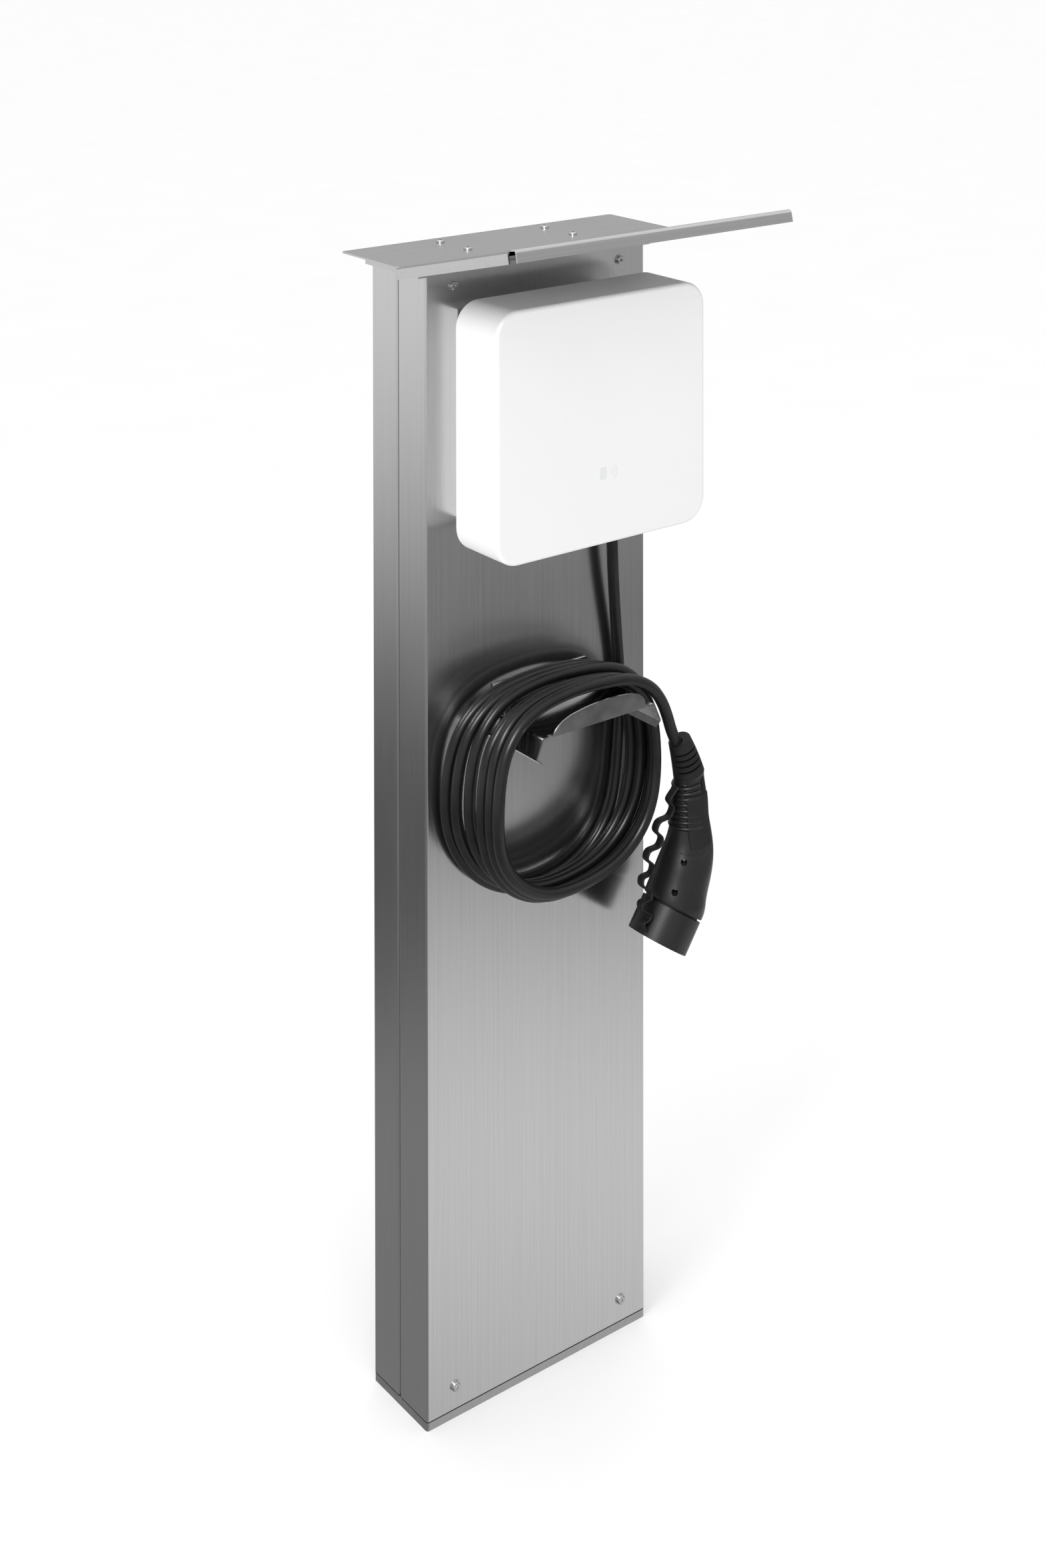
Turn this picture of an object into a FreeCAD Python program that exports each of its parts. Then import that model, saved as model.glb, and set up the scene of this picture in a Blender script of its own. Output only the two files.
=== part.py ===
import FreeCAD, Part
import math
import os

# Charging post: a folded stainless column on a steel base plate, with a rain visor on top, a white
# charge controller on its front, and a hook that carries the coiled cable with its plug.
# Units are millimetres. Origin: centre of the base plate's underside. +Z is up, the front faces -Y.

V = FreeCAD.Vector
X_AXIS, Y_AXIS, Z_AXIS = V(1, 0, 0), V(0, 1, 0), V(0, 0, 1)

# ---- driving dimensions -------------------------------------------------------------------------
post_height = 1450.0          # floor to the top of the flat roof
column_width = 340.0
column_depth = 125.0
skin = 1.5                    # folded column sheet
bend_radius = 2.5             # inside radius of every column fold

base_thickness = 10.0
base_corner_radius = 4.0
anchor_spacing_x = 220.0
anchor_spacing_y = 60.0
anchor_hole_radius = 6.5
cable_entry_radius = 32.0

base_gasket_thickness = 1.5
base_gasket_inset = 1.0
base_gasket_width = 5.0

seam_offset = 2.0             # seam between front cover and rear shell, behind mid-depth
seam_gap = 2.5
seam_lip = 12.0

rail_size = 25.0              # square tube of the inner frame
rail_wall = 2.0
rail_side_gap = 7.5           # between a rail and the side skin
bar_height = 30.0
screw_margin_z = 30.0         # cover screw above the base plate
screw_margin_top = 14.5       # cover screw below the column's top
screw_rail_gap = 7.0            # cover screw inwards of the rail's inner face
screw_head_radius = 5.7
screw_head_height = 3.3
screw_socket_radius = 2.0
screw_socket_depth = 2.0
thread_radius = 3.0
thread_length = 12.0
washer_radius = 7.0
washer_thickness = 1.0

ledge_thickness = 5.0
ledge_overhang = 9.5
ledge_opening_x = 230.0
ledge_opening_y = 70.0
roof_spacer_height = 12.0
roof_spacer_width = 30.0
spacer_inset = 5.0
roof_sheet = 2.0
roof_width = 423.0
roof_rear_overhang = 5.0
roof_corner_radius = 5.0
roof_screw_spacing_x = 164.0
roof_screw_spacing_y = 64.0
roof_screw_offset_y = 8.0
visor_reach = 250.0
visor_angle = 12.87           # degrees above the horizontal
visor_flange = 15.0
visor_side_setback = 11.5     # side flange ends this far behind the visor's front edge
visor_front_inset = 3.5       # front flange is narrower than the roof by this, each side
visor_bend_radius = 3.0

box_width = 319.0             # charge controller cover
box_height = 306.0
box_cover_depth = 87.0
box_standoff = 53.0           # from the column's front to the back edge of the cover
box_bottom = 1102.0
box_corner_radius = 32.0
box_edge_fillet = 5.0
box_wall = 3.0
slide_gap = 0.6               # between the cover and the tray that it slides over

reader_rise = 88.0            # card reader above the cover's bottom edge
reader_x = 6.0
reader_size = 44.0
reader_corner = 4.0
guide_radius = 4.0
guide_length = 14.0

housing_width = 240.0
housing_height = 260.0
housing_offset_z = 23.0       # housing bottom above the cover's bottom edge
bracket_thickness = 4.0
bracket_width = 180.0
bracket_height = 200.0
bracket_screw_x = 140.0
bracket_screw_z = 160.0
fixing_length = 20.0
tray_rim = 15.0
housing_gasket_height = 4.0
rest_gap = 0.3                # between bodies that move apart
rib_height = 8.0
stud_radius = 4.0
stud_length = 60.0
stud_running_gap = 0.05
stud_engagement = 50.0
stud_boss_radius = 8.0
stud_inset_x = 25.0
stud_inset_z = 42.0

rail_profile_height = 35.0    # top-hat rail
rail_profile_depth = 7.5
rail_profile_brim = 5.0
rail_sheet = 1.0
rail_fold = 0.4
terminal_rail_half = 90.0
device_rail_half = 105.0
device_rise = 55.0            # device rail above the housing's middle
device_height = 85.0
device_depth = 60.0
device_nose_height = 45.0
device_nose_depth = 8.0
rcd_x0 = -100.0
rcd_width = 72.0
device_gap = 20.0             # between the protection device and the contactor
contactor_width = 54.0
toggle_pivot_radius = 2.0
toggle_pivot_gap = 0.05
toggle_width = 14.0
toggle_length = 16.0
toggle_thickness = 5.0
toggle_hub_radius = 5.0
toggle_angle = 35.0
toggle_offset = 46.8          # from the device's left side
toggle_pivot_depth = 3.0
toggle_bay_depth = 10.0
toggle_pin = 4.0
test_button_radius = 3.5
test_button_gap = 0.1
test_button_offset = 14.4
test_button_proud = 2.5
test_button_depth = 5.0
test_button_travel = 1.5
test_button_bore = test_button_depth + 2 * test_button_travel
board_thickness = 1.6
board_width = 150.0
board_height = 90.0
board_standoff = 12.0
board_x = -20.0
board_rise = 20.0             # board above the housing's floor
board_hole_inset = 6.0
standoff_radius = 3.5

feed_radius = 14.0            # supply feed from the column into the housing
feed_drop = 3.0               # feed below the housing's middle, clear of the device rail
gland_x = 99.5
gland_standoff = 22.5         # gland axis in front of the column
gland_thread_radius = 12.5
gland_hex_radius = 16.0
gland_body_length = 12.0
gland_nut_length = 16.0
gland_thread = 6.0            # thread standing inside the housing
gland_flat_share = 0.6        # hexagon's share of the nut; the rest is its dome
gland_dome_wall = 2.0

cable_diameter = 15.0
coil_depth = 109.0
coil_back_gap = 4.4
coil_band = 17.0
coil_upper_power = 2.8        # squareness of the loops where they lie over the hook
coil_lower_power = 2.1

hook_sheet = 2.0
hook_top = 881.0              # top of the shelf that the loops rest on
hook_half_width = 85.0
hook_leg_x = 10.0
hook_leg_z = 24.0
hook_return_x = 8.0
hook_return_z = 7.0
hook_reach = 130.0
hook_flange_height = 26.0
hook_screw_spacing = 100.0
hook_screw_height = 2.0
lip_half_width = 71.0
lip_height = 25.0
lip_relief = 3.0
lip_relief_depth = 5.0
hook_flange_inset = 12.0
hook_fold = 1.5

plug_plane = 142.5            # plug axis plane, measured forward from the column's centre plane
plug_top_x, plug_top_z = 165.5, 798.5
relief_mid_x, relief_mid_z = 174.1, 775.5
plug_wall = 3.0
relief_top_radius = 14.5
relief_mid_radius = 17.5
relief_bottom_radius = 20.0
relief_slots = 4
relief_slot_pitch = 8.0
relief_slot_width = 2.6
relief_slot_floor = 11.5      # radius that the slots leave uncut
relief_slot_side = 3.0        # slots stay in front of the plug's plane by this
clamp_radius = 12.5
clamp_length = 3.0
collar_radius = 39.5
plug_pillar_radius = 5.0
plug_recess_radius = 4.2
plug_screw_radius = 1.8
plug_screw_head = 2.6
plug_screw_tip = 9.0          # shank past the plug's plane
plug_screw_turn = 40.0        # degrees from +Y towards +X, the way the screws are driven
grip_thickness = 1.6
grip_half_width = 17.0
grip_x, grip_top, grip_bottom = 181.5, 728.0, 664.0
grip_depth_start = 8.0        # soft grip begins this far in front of the plug's plane
plug_nose_tilt = 34.7         # nose axis from the vertical, towards -X
plug_nose_radius = 33.0
plug_nose_length = 36.0
nose_seat = 14.0
contact_radius = 3.0
contact_wall = 2.0
contact_depth = 30.0
contact_recess = 8.0
cap_end_x, cap_end_z = 128.4, 547.2
cap_radius = 41.0
cap_length = 43.0
cap_wall = 3.0
cap_grip = 8.0                # inside lip of the cap that holds the nose
cap_gap = 3.0                 # between the cap's rim and the housing's collar
strap_width = 9.0
strap_thickness = 3.0
strap_fold = 1.5
strap_waves = 11
strap_swing = 7.5
strap_fade = 0.55             # the waves flatten towards the cap
strap_root_x, strap_root_z = 161.5, 739.0

# ---- derived levels -----------------------------------------------------------------------------
half_w = column_width / 2
half_d = column_depth / 2
front = -half_d
roof_under = post_height - roof_sheet
spacer_under = roof_under - roof_spacer_height
shell_top = spacer_under - ledge_thickness
shell_bottom = base_thickness + base_gasket_thickness
inner_x = half_w - skin
inner_front = front + skin
inner_back = half_d - skin
cover_screw_z = (base_thickness + screw_margin_z, shell_top - screw_margin_top)
rail_x = inner_x - rail_side_gap - rail_size / 2
screw_spacing_x = 2 * (rail_x - rail_size / 2 - screw_rail_gap)
cover_screw_x = (-screw_spacing_x / 2, screw_spacing_x / 2)
cover_back = front - box_standoff
cover_front = cover_back - box_cover_depth
box_centre_z = box_bottom + box_height / 2
housing_bottom = box_bottom + housing_offset_z
housing_top = housing_bottom + housing_height
housing_back = front - bracket_thickness
plug_y = -plug_plane


# ---- shape helpers ------------------------------------------------------------------------------
def block(x0, x1, y0, y1, z0, z1):
    return Part.makeBox(x1 - x0, y1 - y0, z1 - z0, V(x0, y0, z0))


def rod(radius, start, end):
    return Part.makeCylinder(radius, (end - start).Length, start, end - start)


def tube(outer, inner, start, end):
    return rod(outer, start, end).cut(rod(inner, start, end))


def hexagon(radius, start, end):
    axis = (end - start).normalize()
    side = axis.cross(X_AXIS if abs(axis.x) < 0.9 else Y_AXIS).normalize()
    other = axis.cross(side)
    turns = [math.radians(60 * k) for k in range(7)]
    points = [start + side * radius * math.cos(a) + other * radius * math.sin(a) for a in turns]
    return Part.Face(Part.makePolygon(points)).extrude(end - start)


def rounded_slab(width, height, radius, y0, y1, centre_z, centre_x=0.0):
    """Rounded rectangle in the XZ plane, carried from y0 to y1."""
    slab = block(centre_x - width / 2, centre_x + width / 2, y0, y1,
                 centre_z - height / 2, centre_z + height / 2)
    corners = [e for e in slab.Edges if abs(e.tangentAt(e.FirstParameter).y) > 0.99]
    return slab.makeFillet(radius, corners)


def folded_sheet(points, thickness, inside_radius, to_space, sweep):
    """Sheet of one thickness along a centre line with rounded folds, extruded by sweep."""
    radius = inside_radius + thickness / 2
    half = thickness / 2

    def unit(a, b):
        length = math.hypot(b[0] - a[0], b[1] - a[1])
        return (b[0] - a[0]) / length, (b[1] - a[1]) / length

    def side_edges(shift):
        """Edges of the centre line moved sideways, and its two end points."""
        edges = []
        here = unit(points[0], points[1])
        pen = (points[0][0] - here[1] * shift, points[0][1] + here[0] * shift)
        first = pen
        for before, at, after in zip(points, points[1:], points[2:]):
            u, v = unit(before, at), unit(at, after)
            turn = math.atan2(u[0] * v[1] - u[1] * v[0], u[0] * v[0] + u[1] * v[1])
            sign = 1 if turn > 0 else -1
            reach = radius * math.tan(abs(turn) / 2)
            enter = (at[0] - u[0] * reach, at[1] - u[1] * reach)
            leave = (at[0] + v[0] * reach, at[1] + v[1] * reach)
            centre = (enter[0] - u[1] * sign * radius, enter[1] + u[0] * sign * radius)
            out = unit(centre, at)
            arm = radius - sign * shift
            start = (enter[0] - u[1] * shift, enter[1] + u[0] * shift)
            middle = (centre[0] + out[0] * arm, centre[1] + out[1] * arm)
            end = (leave[0] - v[1] * shift, leave[1] + v[0] * shift)
            edges.append(Part.LineSegment(to_space(*pen), to_space(*start)).toShape())
            edges.append(Part.Arc(to_space(*start), to_space(*middle), to_space(*end)).toShape())
            pen = end
        here = unit(points[-2], points[-1])
        last = (points[-1][0] - here[1] * shift, points[-1][1] + here[0] * shift)
        edges.append(Part.LineSegment(to_space(*pen), to_space(*last)).toShape())
        return edges, first, last

    left, left_start, left_end = side_edges(half)
    right, right_start, right_end = side_edges(-half)
    caps = [Part.LineSegment(to_space(*left_end), to_space(*right_end)).toShape(),
            Part.LineSegment(to_space(*right_start), to_space(*left_start)).toShape()]
    outline = Part.Wire(Part.__sortEdges__(left + right + caps))
    return Part.Face(outline).extrude(sweep)


def square_tube(size_a, size_b, wall, x0, x1, y_centre, z_centre):
    """Rectangular tube along X: size_a deep in Y, size_b high in Z."""
    outer = block(x0, x1, y_centre - size_a / 2, y_centre + size_a / 2,
                  z_centre - size_b / 2, z_centre + size_b / 2)
    inner = block(x0, x1, y_centre - size_a / 2 + wall, y_centre + size_a / 2 - wall,
                  z_centre - size_b / 2 + wall, z_centre + size_b / 2 - wall)
    return outer.cut(inner)


def button_screw(seat, inward, head_height=screw_head_height, head_radius=screw_head_radius,
                 shank_radius=thread_radius, shank_length=thread_length):
    """Domed screw with a hexagon socket; seat is under the head, inward the way it is driven."""
    outward = inward * -1
    head = rod(head_radius, seat, seat + outward * head_height)
    rim = [e for e in head.Edges if (e.CenterOfMass - seat).dot(outward) > head_height * 0.9]
    head = head.makeFillet(head_height * 0.6, rim)
    socket = hexagon(screw_socket_radius, seat + outward * (head_height - screw_socket_depth),
                     seat + outward * (head_height + 1))
    screw = head.fuse(rod(shank_radius, seat, seat + inward * shank_length))
    return screw.cut(socket).removeSplitter()


def group(shapes):
    return Part.makeCompound(shapes)


def save(name, shape):
    shape.exportStep(f"parts/{name}.step")
    print(f"{name}: {len(shape.Solids)} solid(s), {shape.Volume / 1000:.1f} cm3, valid {shape.isValid()}")


os.makedirs("parts", exist_ok=True)


# ---- base plate and its gasket ------------------------------------------------------------------
def upright_edges(shape):
    return [e for e in shape.Edges if abs(e.tangentAt(e.FirstParameter).z) > 0.99]


base = block(-half_w, half_w, -half_d, half_d, 0, base_thickness)
base = base.makeFillet(base_corner_radius, upright_edges(base))
for sx in (-1, 1):
    for sy in (-1, 1):
        at = V(sx * anchor_spacing_x / 2, sy * anchor_spacing_y / 2, 0)
        base = base.cut(rod(anchor_hole_radius, at, at + Z_AXIS * base_thickness))
base = base.cut(rod(cable_entry_radius, V(0, 0, 0), V(0, 0, base_thickness)))

foot_thickness = 3.0
foot_height = 45.0
foot_reach = 30.0
rail_back = inner_front + rail_size
foot_half_width = 11.0
foot_bolt_radius = 3.0
foot_bolt_at = [V(s * rail_x, rail_back + foot_reach * 0.65, 0) for s in (-1, 1)]
rear_foot_width = 90.0
rear_bolt_at = [V(s * rear_foot_width / 3, inner_back - foot_reach * 0.6, 0) for s in (-1, 1)]
for at in foot_bolt_at + rear_bolt_at:
    base = base.cut(rod(foot_bolt_radius, at, at + Z_AXIS * base_thickness))
save("base_plate", base)

ring_out = block(-half_w + base_gasket_inset, half_w - base_gasket_inset,
                 -half_d + base_gasket_inset, half_d - base_gasket_inset, base_thickness, shell_bottom)
edge_in = base_gasket_inset + base_gasket_width
ring_in = block(-half_w + edge_in, half_w - edge_in, -half_d + edge_in, half_d - edge_in,
                base_thickness, shell_bottom)
rail_notch = [block(s * rail_x - rail_size / 2, s * rail_x + rail_size / 2, inner_front,
                    rail_back, base_thickness, shell_bottom) for s in (-1, 1)]
save("base_gasket", ring_out.cut(ring_in).cut(group(rail_notch)))


# ---- inner frame --------------------------------------------------------------------------------
rails = []
for s in (-1, 1):
    outer = block(s * rail_x - rail_size / 2, s * rail_x + rail_size / 2, inner_front, rail_back,
                  base_thickness, shell_top)
    inner = block(s * rail_x - rail_size / 2 + rail_wall, s * rail_x + rail_size / 2 - rail_wall,
                  inner_front + rail_wall, rail_back - rail_wall, base_thickness, shell_top)
    rails.append(outer.cut(inner))
save("frame_rails", group(rails))

bar_x = rail_x - rail_size / 2
bar_y = inner_front + rail_size / 2
hook_bar_z = hook_top + hook_flange_height * 0.6
bracket_low_z = box_centre_z - bracket_screw_z / 2
bracket_high_z = box_centre_z + bracket_screw_z / 2
bar_levels = [cover_screw_z[0], hook_bar_z, bracket_low_z, bracket_high_z,
              shell_top - bar_height / 2]
feed_z = box_centre_z - feed_drop

cover_screw_at = [V(x, front, z) for x in cover_screw_x for z in cover_screw_z]
hook_screw_at = [V(s * hook_screw_spacing / 2, front, hook_bar_z) for s in (-1, 1)]
bracket_screw_at = [V(sx * bracket_screw_x / 2, front, z) for sx in (-1, 1)
                    for z in (bracket_low_z, bracket_high_z)]
drilled = [rod(thread_radius, p - Y_AXIS * thread_length, p + Y_AXIS * (skin + rail_wall + 1))
           for p in cover_screw_at + hook_screw_at + bracket_screw_at]
bars = [square_tube(rail_size, bar_height, rail_wall, -bar_x, bar_x, bar_y, z) for z in bar_levels]
save("cross_bars", group([b.cut(group(drilled)) for b in bars]))

feet = []
for s, at in zip((-1, 1), foot_bolt_at):
    x0, x1 = at.x - foot_half_width, at.x + foot_half_width
    foot = block(x0, x1, rail_back, rail_back + foot_thickness, base_thickness, base_thickness + foot_height)
    foot = foot.fuse(block(x0, x1, rail_back, rail_back + foot_reach, base_thickness,
                           base_thickness + foot_thickness))
    feet.append(foot)
rear = block(-rear_foot_width / 2, rear_foot_width / 2, inner_back - foot_thickness, inner_back,
             base_thickness, base_thickness + foot_height)
rear = rear.fuse(block(-rear_foot_width / 2, rear_foot_width / 2, inner_back - foot_reach, inner_back,
                       base_thickness, base_thickness + foot_thickness))
notch = block(-rear_foot_width, rear_foot_width, half_d - edge_in, half_d, base_thickness, shell_bottom)
feet.append(rear.cut(notch))
bolt_bores = [rod(foot_bolt_radius, at, at + Z_AXIS * foot_height) for at in foot_bolt_at + rear_bolt_at]
save("foot_angles", group([f.cut(group(bolt_bores)).removeSplitter() for f in feet]))
save("foot_bolts", group([button_screw(at + Z_AXIS * (base_thickness + foot_thickness), Z_AXIS * -1,
                                       shank_radius=foot_bolt_radius,
                                       shank_length=base_thickness + foot_thickness - 1)
                          for at in foot_bolt_at + rear_bolt_at]))


# ---- column skins -------------------------------------------------------------------------------
def column_skin(y_outer, y_seam):
    """U-shaped skin in plan with a lip turned inwards at each seam edge."""
    s = skin / 2
    y_face = y_outer + s * (1 if y_seam > y_outer else -1)
    y_lip = y_seam - s * (1 if y_seam > y_outer else -1)
    x_side = half_w - s
    x_lip = half_w - skin - seam_lip
    plan = [(-x_lip, y_lip), (-x_side, y_lip), (-x_side, y_face), (x_side, y_face),
            (x_side, y_lip), (x_lip, y_lip)]
    return folded_sheet(plan, skin, bend_radius - skin / 2, lambda x, y: V(x, y, shell_bottom),
                        Z_AXIS * (shell_top - shell_bottom))


front_cover = column_skin(front, seam_offset - seam_gap / 2)
front_cover = front_cover.cut(group(drilled))
feed_hole = rod(feed_radius, V(0, housing_back - 1, feed_z), V(0, inner_front + 1, feed_z))
save("front_cover", front_cover.cut(feed_hole))
save("rear_shell", column_skin(half_d, seam_offset + seam_gap / 2))

seal_recess = 4.0
seal_x = sorted((half_w - seal_recess, inner_x - seam_lip + 1))
seals = [block(x0, x1, seam_offset - seam_gap / 2, seam_offset + seam_gap / 2, shell_bottom, shell_top)
         for x0, x1 in (seal_x, [-x for x in reversed(seal_x)])]
save("seam_seals", group(seals))

washers = [tube(washer_radius, thread_radius, p, p - Y_AXIS * washer_thickness) for p in cover_screw_at]
save("cover_screw_washers", group(washers))
save("cover_screws", group([button_screw(p - Y_AXIS * washer_thickness, Y_AXIS) for p in cover_screw_at]))


# ---- top ledge, spacers and roof with visor -----------------------------------------------------
ledge = block(-half_w - ledge_overhang, half_w + ledge_overhang, -half_d, half_d, shell_top,
              spacer_under)
ledge = ledge.cut(block(-ledge_opening_x / 2, ledge_opening_x / 2, -ledge_opening_y / 2,
                        ledge_opening_y / 2, shell_top, spacer_under))
save("top_ledge", ledge)

spacer_length = column_depth - 2 * spacer_inset
roof_screw_at = [V(sx * roof_screw_spacing_x / 2, roof_screw_offset_y + sy * roof_screw_spacing_y / 2,
                   post_height) for sx in (-1, 1) for sy in (-1, 1)]
roof_bores = group([rod(thread_radius, p, p - Z_AXIS * (roof_sheet + thread_length))
                    for p in roof_screw_at])
spacers = [block(s * roof_screw_spacing_x / 2 - roof_spacer_width / 2,
                 s * roof_screw_spacing_x / 2 + roof_spacer_width / 2,
                 -spacer_length / 2, spacer_length / 2, spacer_under, roof_under).cut(roof_bores)
           for s in (-1, 1)]
save("roof_spacers", group(spacers))

slope = math.radians(visor_angle)
visor_length = visor_reach / math.cos(slope)
mid = post_height - roof_sheet / 2
roof_back = half_d + roof_rear_overhang
tip = (front - visor_reach, mid + visor_reach * math.tan(slope))
flange_end = (tip[0] - visor_flange * math.sin(slope), tip[1] - visor_flange * math.cos(slope))
narrow = roof_width / 2 - visor_front_inset
bend_line = V(0, front, post_height)


def tilted(shape):
    """Shape drawn in the flat visor's frame, turned up about the bend line."""
    turned = shape.copy()
    turned.rotate(bend_line, X_AXIS, -visor_angle)
    return turned


flange_x = (roof_width - roof_sheet) / 2
side_u = [(-flange_x, mid - visor_flange), (-flange_x, mid), (flange_x, mid), (flange_x, mid - visor_flange)]
setback = visor_side_setback / math.cos(slope)
visor_tray = tilted(folded_sheet(side_u, roof_sheet, visor_bend_radius - roof_sheet / 2,
                                 lambda x, z: V(x, front - visor_length + setback, z),
                                 Y_AXIS * (visor_length - setback - 1)))
flat_roof = block(-roof_width / 2, roof_width / 2, front, roof_back, roof_under, post_height)
rear_corners = [e for e in upright_edges(flat_roof) if e.CenterOfMass.y > 0]
flat_roof = flat_roof.makeFillet(roof_corner_radius, rear_corners)
front_strip = 30.0
front_edge = [(tip[0] + front_strip * math.cos(slope), tip[1] - front_strip * math.sin(slope)), tip,
              flange_end]
front_piece = folded_sheet(front_edge, roof_sheet, visor_bend_radius, lambda y, z: V(-narrow, y, z),
                           X_AXIS * (2 * narrow))
bend_fill = Part.makeCylinder(roof_sheet, roof_width, V(-roof_width / 2, front, post_height), X_AXIS, 360)
bend_fill = bend_fill.common(block(-roof_width / 2, roof_width / 2, front - roof_sheet, front,
                                   roof_under, post_height))
bend_strip = tilted(block(-roof_width / 2, roof_width / 2, front - 6, front, roof_under, post_height))
bend_fill = bend_fill.common(tilted(block(-roof_width / 2, roof_width / 2, front, front + 5,
                                          roof_under - 2, post_height)))
roof = flat_roof.fuse([bend_fill, bend_strip, visor_tray, front_piece]).cut(roof_bores).removeSplitter()
save("roof_visor", roof)
save("roof_screws", group([button_screw(p, Z_AXIS * -1) for p in roof_screw_at]))


# ---- supply terminals inside the column ---------------------------------------------------------
plate_z0, plate_z1 = 250.0, 430.0
plate_thickness = 2.0
plate_half = 115.0
plate_gap = 8.0
plate_y = inner_back - plate_gap
plate = block(-plate_half, plate_half, plate_y - plate_thickness, plate_y, plate_z0, plate_z1)
plate_corner = 12.0
plate_spacer_radius = 5.0
spacer_at = [V(sx * (plate_half - plate_corner), plate_y, z) for sx in (-1, 1)
             for z in (plate_z0 + plate_corner, plate_z1 - plate_corner)]
save("mounting_plate", plate)
save("plate_spacers", group([rod(plate_spacer_radius, p, p + Y_AXIS * plate_gap) for p in spacer_at]))


def top_hat_rail(x0, x1, y_back, z_centre):
    """Rail of top-hat section along X, its back on y_back, opening away from it."""
    s = rail_sheet / 2
    half = rail_profile_height / 2
    y_brim = y_back - rail_profile_depth + s
    inner = half - rail_profile_brim
    section = [(-half, y_brim), (-inner, y_brim), (-inner, y_back - s), (inner, y_back - s),
               (inner, y_brim), (half, y_brim)]
    return folded_sheet(section, rail_sheet, rail_fold, lambda z, y: V(x0, y, z_centre + z),
                        X_AXIS * (x1 - x0))


terminal_z = (plate_z0 + plate_z1) / 2
terminal_back = plate_y - plate_thickness
save("terminal_rail", top_hat_rail(-terminal_rail_half, terminal_rail_half, terminal_back, terminal_z))

terminal_count = 7
terminal_pitch = 10.0
terminal_half_width = 4.85
terminal_depth = 40.0
terminal_half_height = 30.0
terminal_screw_z = 20.0
terminal_screw_radius = 2.6
terminal_screw_depth = 6.0
terminals = []
for k in range(terminal_count):
    x = (k - (terminal_count - 1) / 2) * terminal_pitch
    y = terminal_back - rail_profile_depth
    body = block(x - terminal_half_width, x + terminal_half_width, y - terminal_depth, y,
                 terminal_z - terminal_half_height, terminal_z + terminal_half_height)
    for s in (-1, 1):
        at = V(x, y - terminal_depth, terminal_z + s * terminal_screw_z)
        body = body.cut(rod(terminal_screw_radius, at, at + Y_AXIS * terminal_screw_depth))
    terminals.append(body)
save("supply_terminals", group(terminals))

earth_inset = 30.0
earth_radius = 4.0
earth_length = 22.0
earth_nut_radius = 7.5
earth_nut = (2.0, 8.5)
earth_at = V(plate_half - earth_inset, terminal_back, plate_z0 + earth_inset)
earth = rod(earth_radius, earth_at, earth_at - Y_AXIS * earth_length)
nut_ends = [earth_at - Y_AXIS * y for y in earth_nut]
save("earth_stud", earth.fuse(hexagon(earth_nut_radius, *nut_ends)))


# ---- hook for the coiled cable ------------------------------------------------------------------
h = hook_sheet / 2
shelf_mid = hook_top - h
leg_x = hook_half_width + hook_leg_x
leg_z = hook_top - hook_leg_z
half_line = [(hook_half_width, shelf_mid), (leg_x, leg_z), (leg_x - hook_return_x, leg_z - hook_return_z)]
hook_line = [(-x, z) for x, z in reversed(half_line)] + half_line
lip_front = front - hook_reach
shelf = folded_sheet(hook_line, hook_sheet, hook_fold, lambda x, z: V(x, lip_front, z), Y_AXIS * hook_reach)
# Lip outline, as shares of its half-width and height
arch = [(-1, 0), (-0.82, 0.52), (-0.42, 0.86), (0.12, 1), (0.6, 0.93), (0.92, 0.62), (1, 0.24), (0.97, 0)]
arch = [(x * lip_half_width, z * lip_height) for x, z in arch]
crown = Part.BSplineCurve()
crown.interpolate([V(x, lip_front, shelf_mid + z) for x, z in arch])
lip_base = Part.LineSegment(V(arch[-1][0], lip_front, shelf_mid), V(arch[0][0], lip_front, shelf_mid))
lip = Part.Face(Part.Wire([crown.toShape(), lip_base.toShape()])).extrude(Y_AXIS * hook_sheet)
for s in (-1, 1):
    relief_x = s * (lip_half_width + lip_relief)
    shelf = shelf.cut(block(relief_x - lip_relief, relief_x + lip_relief, lip_front,
                            lip_front + lip_relief_depth, hook_top - 2 * hook_sheet, hook_top + 1))
flange_half = hook_half_width - hook_flange_inset
rear_flange = block(-flange_half, flange_half, front - hook_sheet, front, shelf_mid,
                    hook_top + hook_flange_height)
save("cable_hook", shelf.fuse([lip, rear_flange]).cut(group(drilled)).removeSplitter())
save("hook_screws", group([button_screw(p - Y_AXIS * hook_sheet, Y_AXIS, head_height=hook_screw_height,
                                        head_radius=screw_head_radius) for p in hook_screw_at]))


# ---- charge controller: bracket, housing, cover -------------------------------------------------
bracket = block(-bracket_width / 2, bracket_width / 2, housing_back, front,
                box_centre_z - bracket_height / 2, box_centre_z + bracket_height / 2)
bracket = bracket.cut(feed_hole).cut(group(drilled))
save("wallbox_bracket", bracket)

tray_width = box_width - 2 * (box_wall + slide_gap)
tray_height = box_height - 2 * (box_wall + slide_gap)
tray_radius = box_corner_radius - box_wall - slide_gap
tray_front = cover_back - box_wall
rim_front = tray_front - tray_rim
shell = block(-housing_width / 2, housing_width / 2, cover_back, housing_back, housing_bottom, housing_top)
shell = shell.fuse(rounded_slab(tray_width, tray_height, tray_radius, rim_front, cover_back, box_centre_z))
shell = shell.cut(rounded_slab(tray_width - 2 * box_wall, tray_height - 2 * box_wall, tray_radius - box_wall,
                               rim_front, tray_front, box_centre_z))
shell = shell.cut(block(-housing_width / 2 + box_wall, housing_width / 2 - box_wall, tray_front,
                        housing_back - box_wall, housing_bottom + box_wall, housing_top - box_wall))
gland_y = front - gland_standoff
shell = shell.cut(rod(gland_thread_radius, V(gland_x, gland_y, housing_bottom - 1),
                      V(gland_x, gland_y, housing_bottom + box_wall + 1)))
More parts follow.
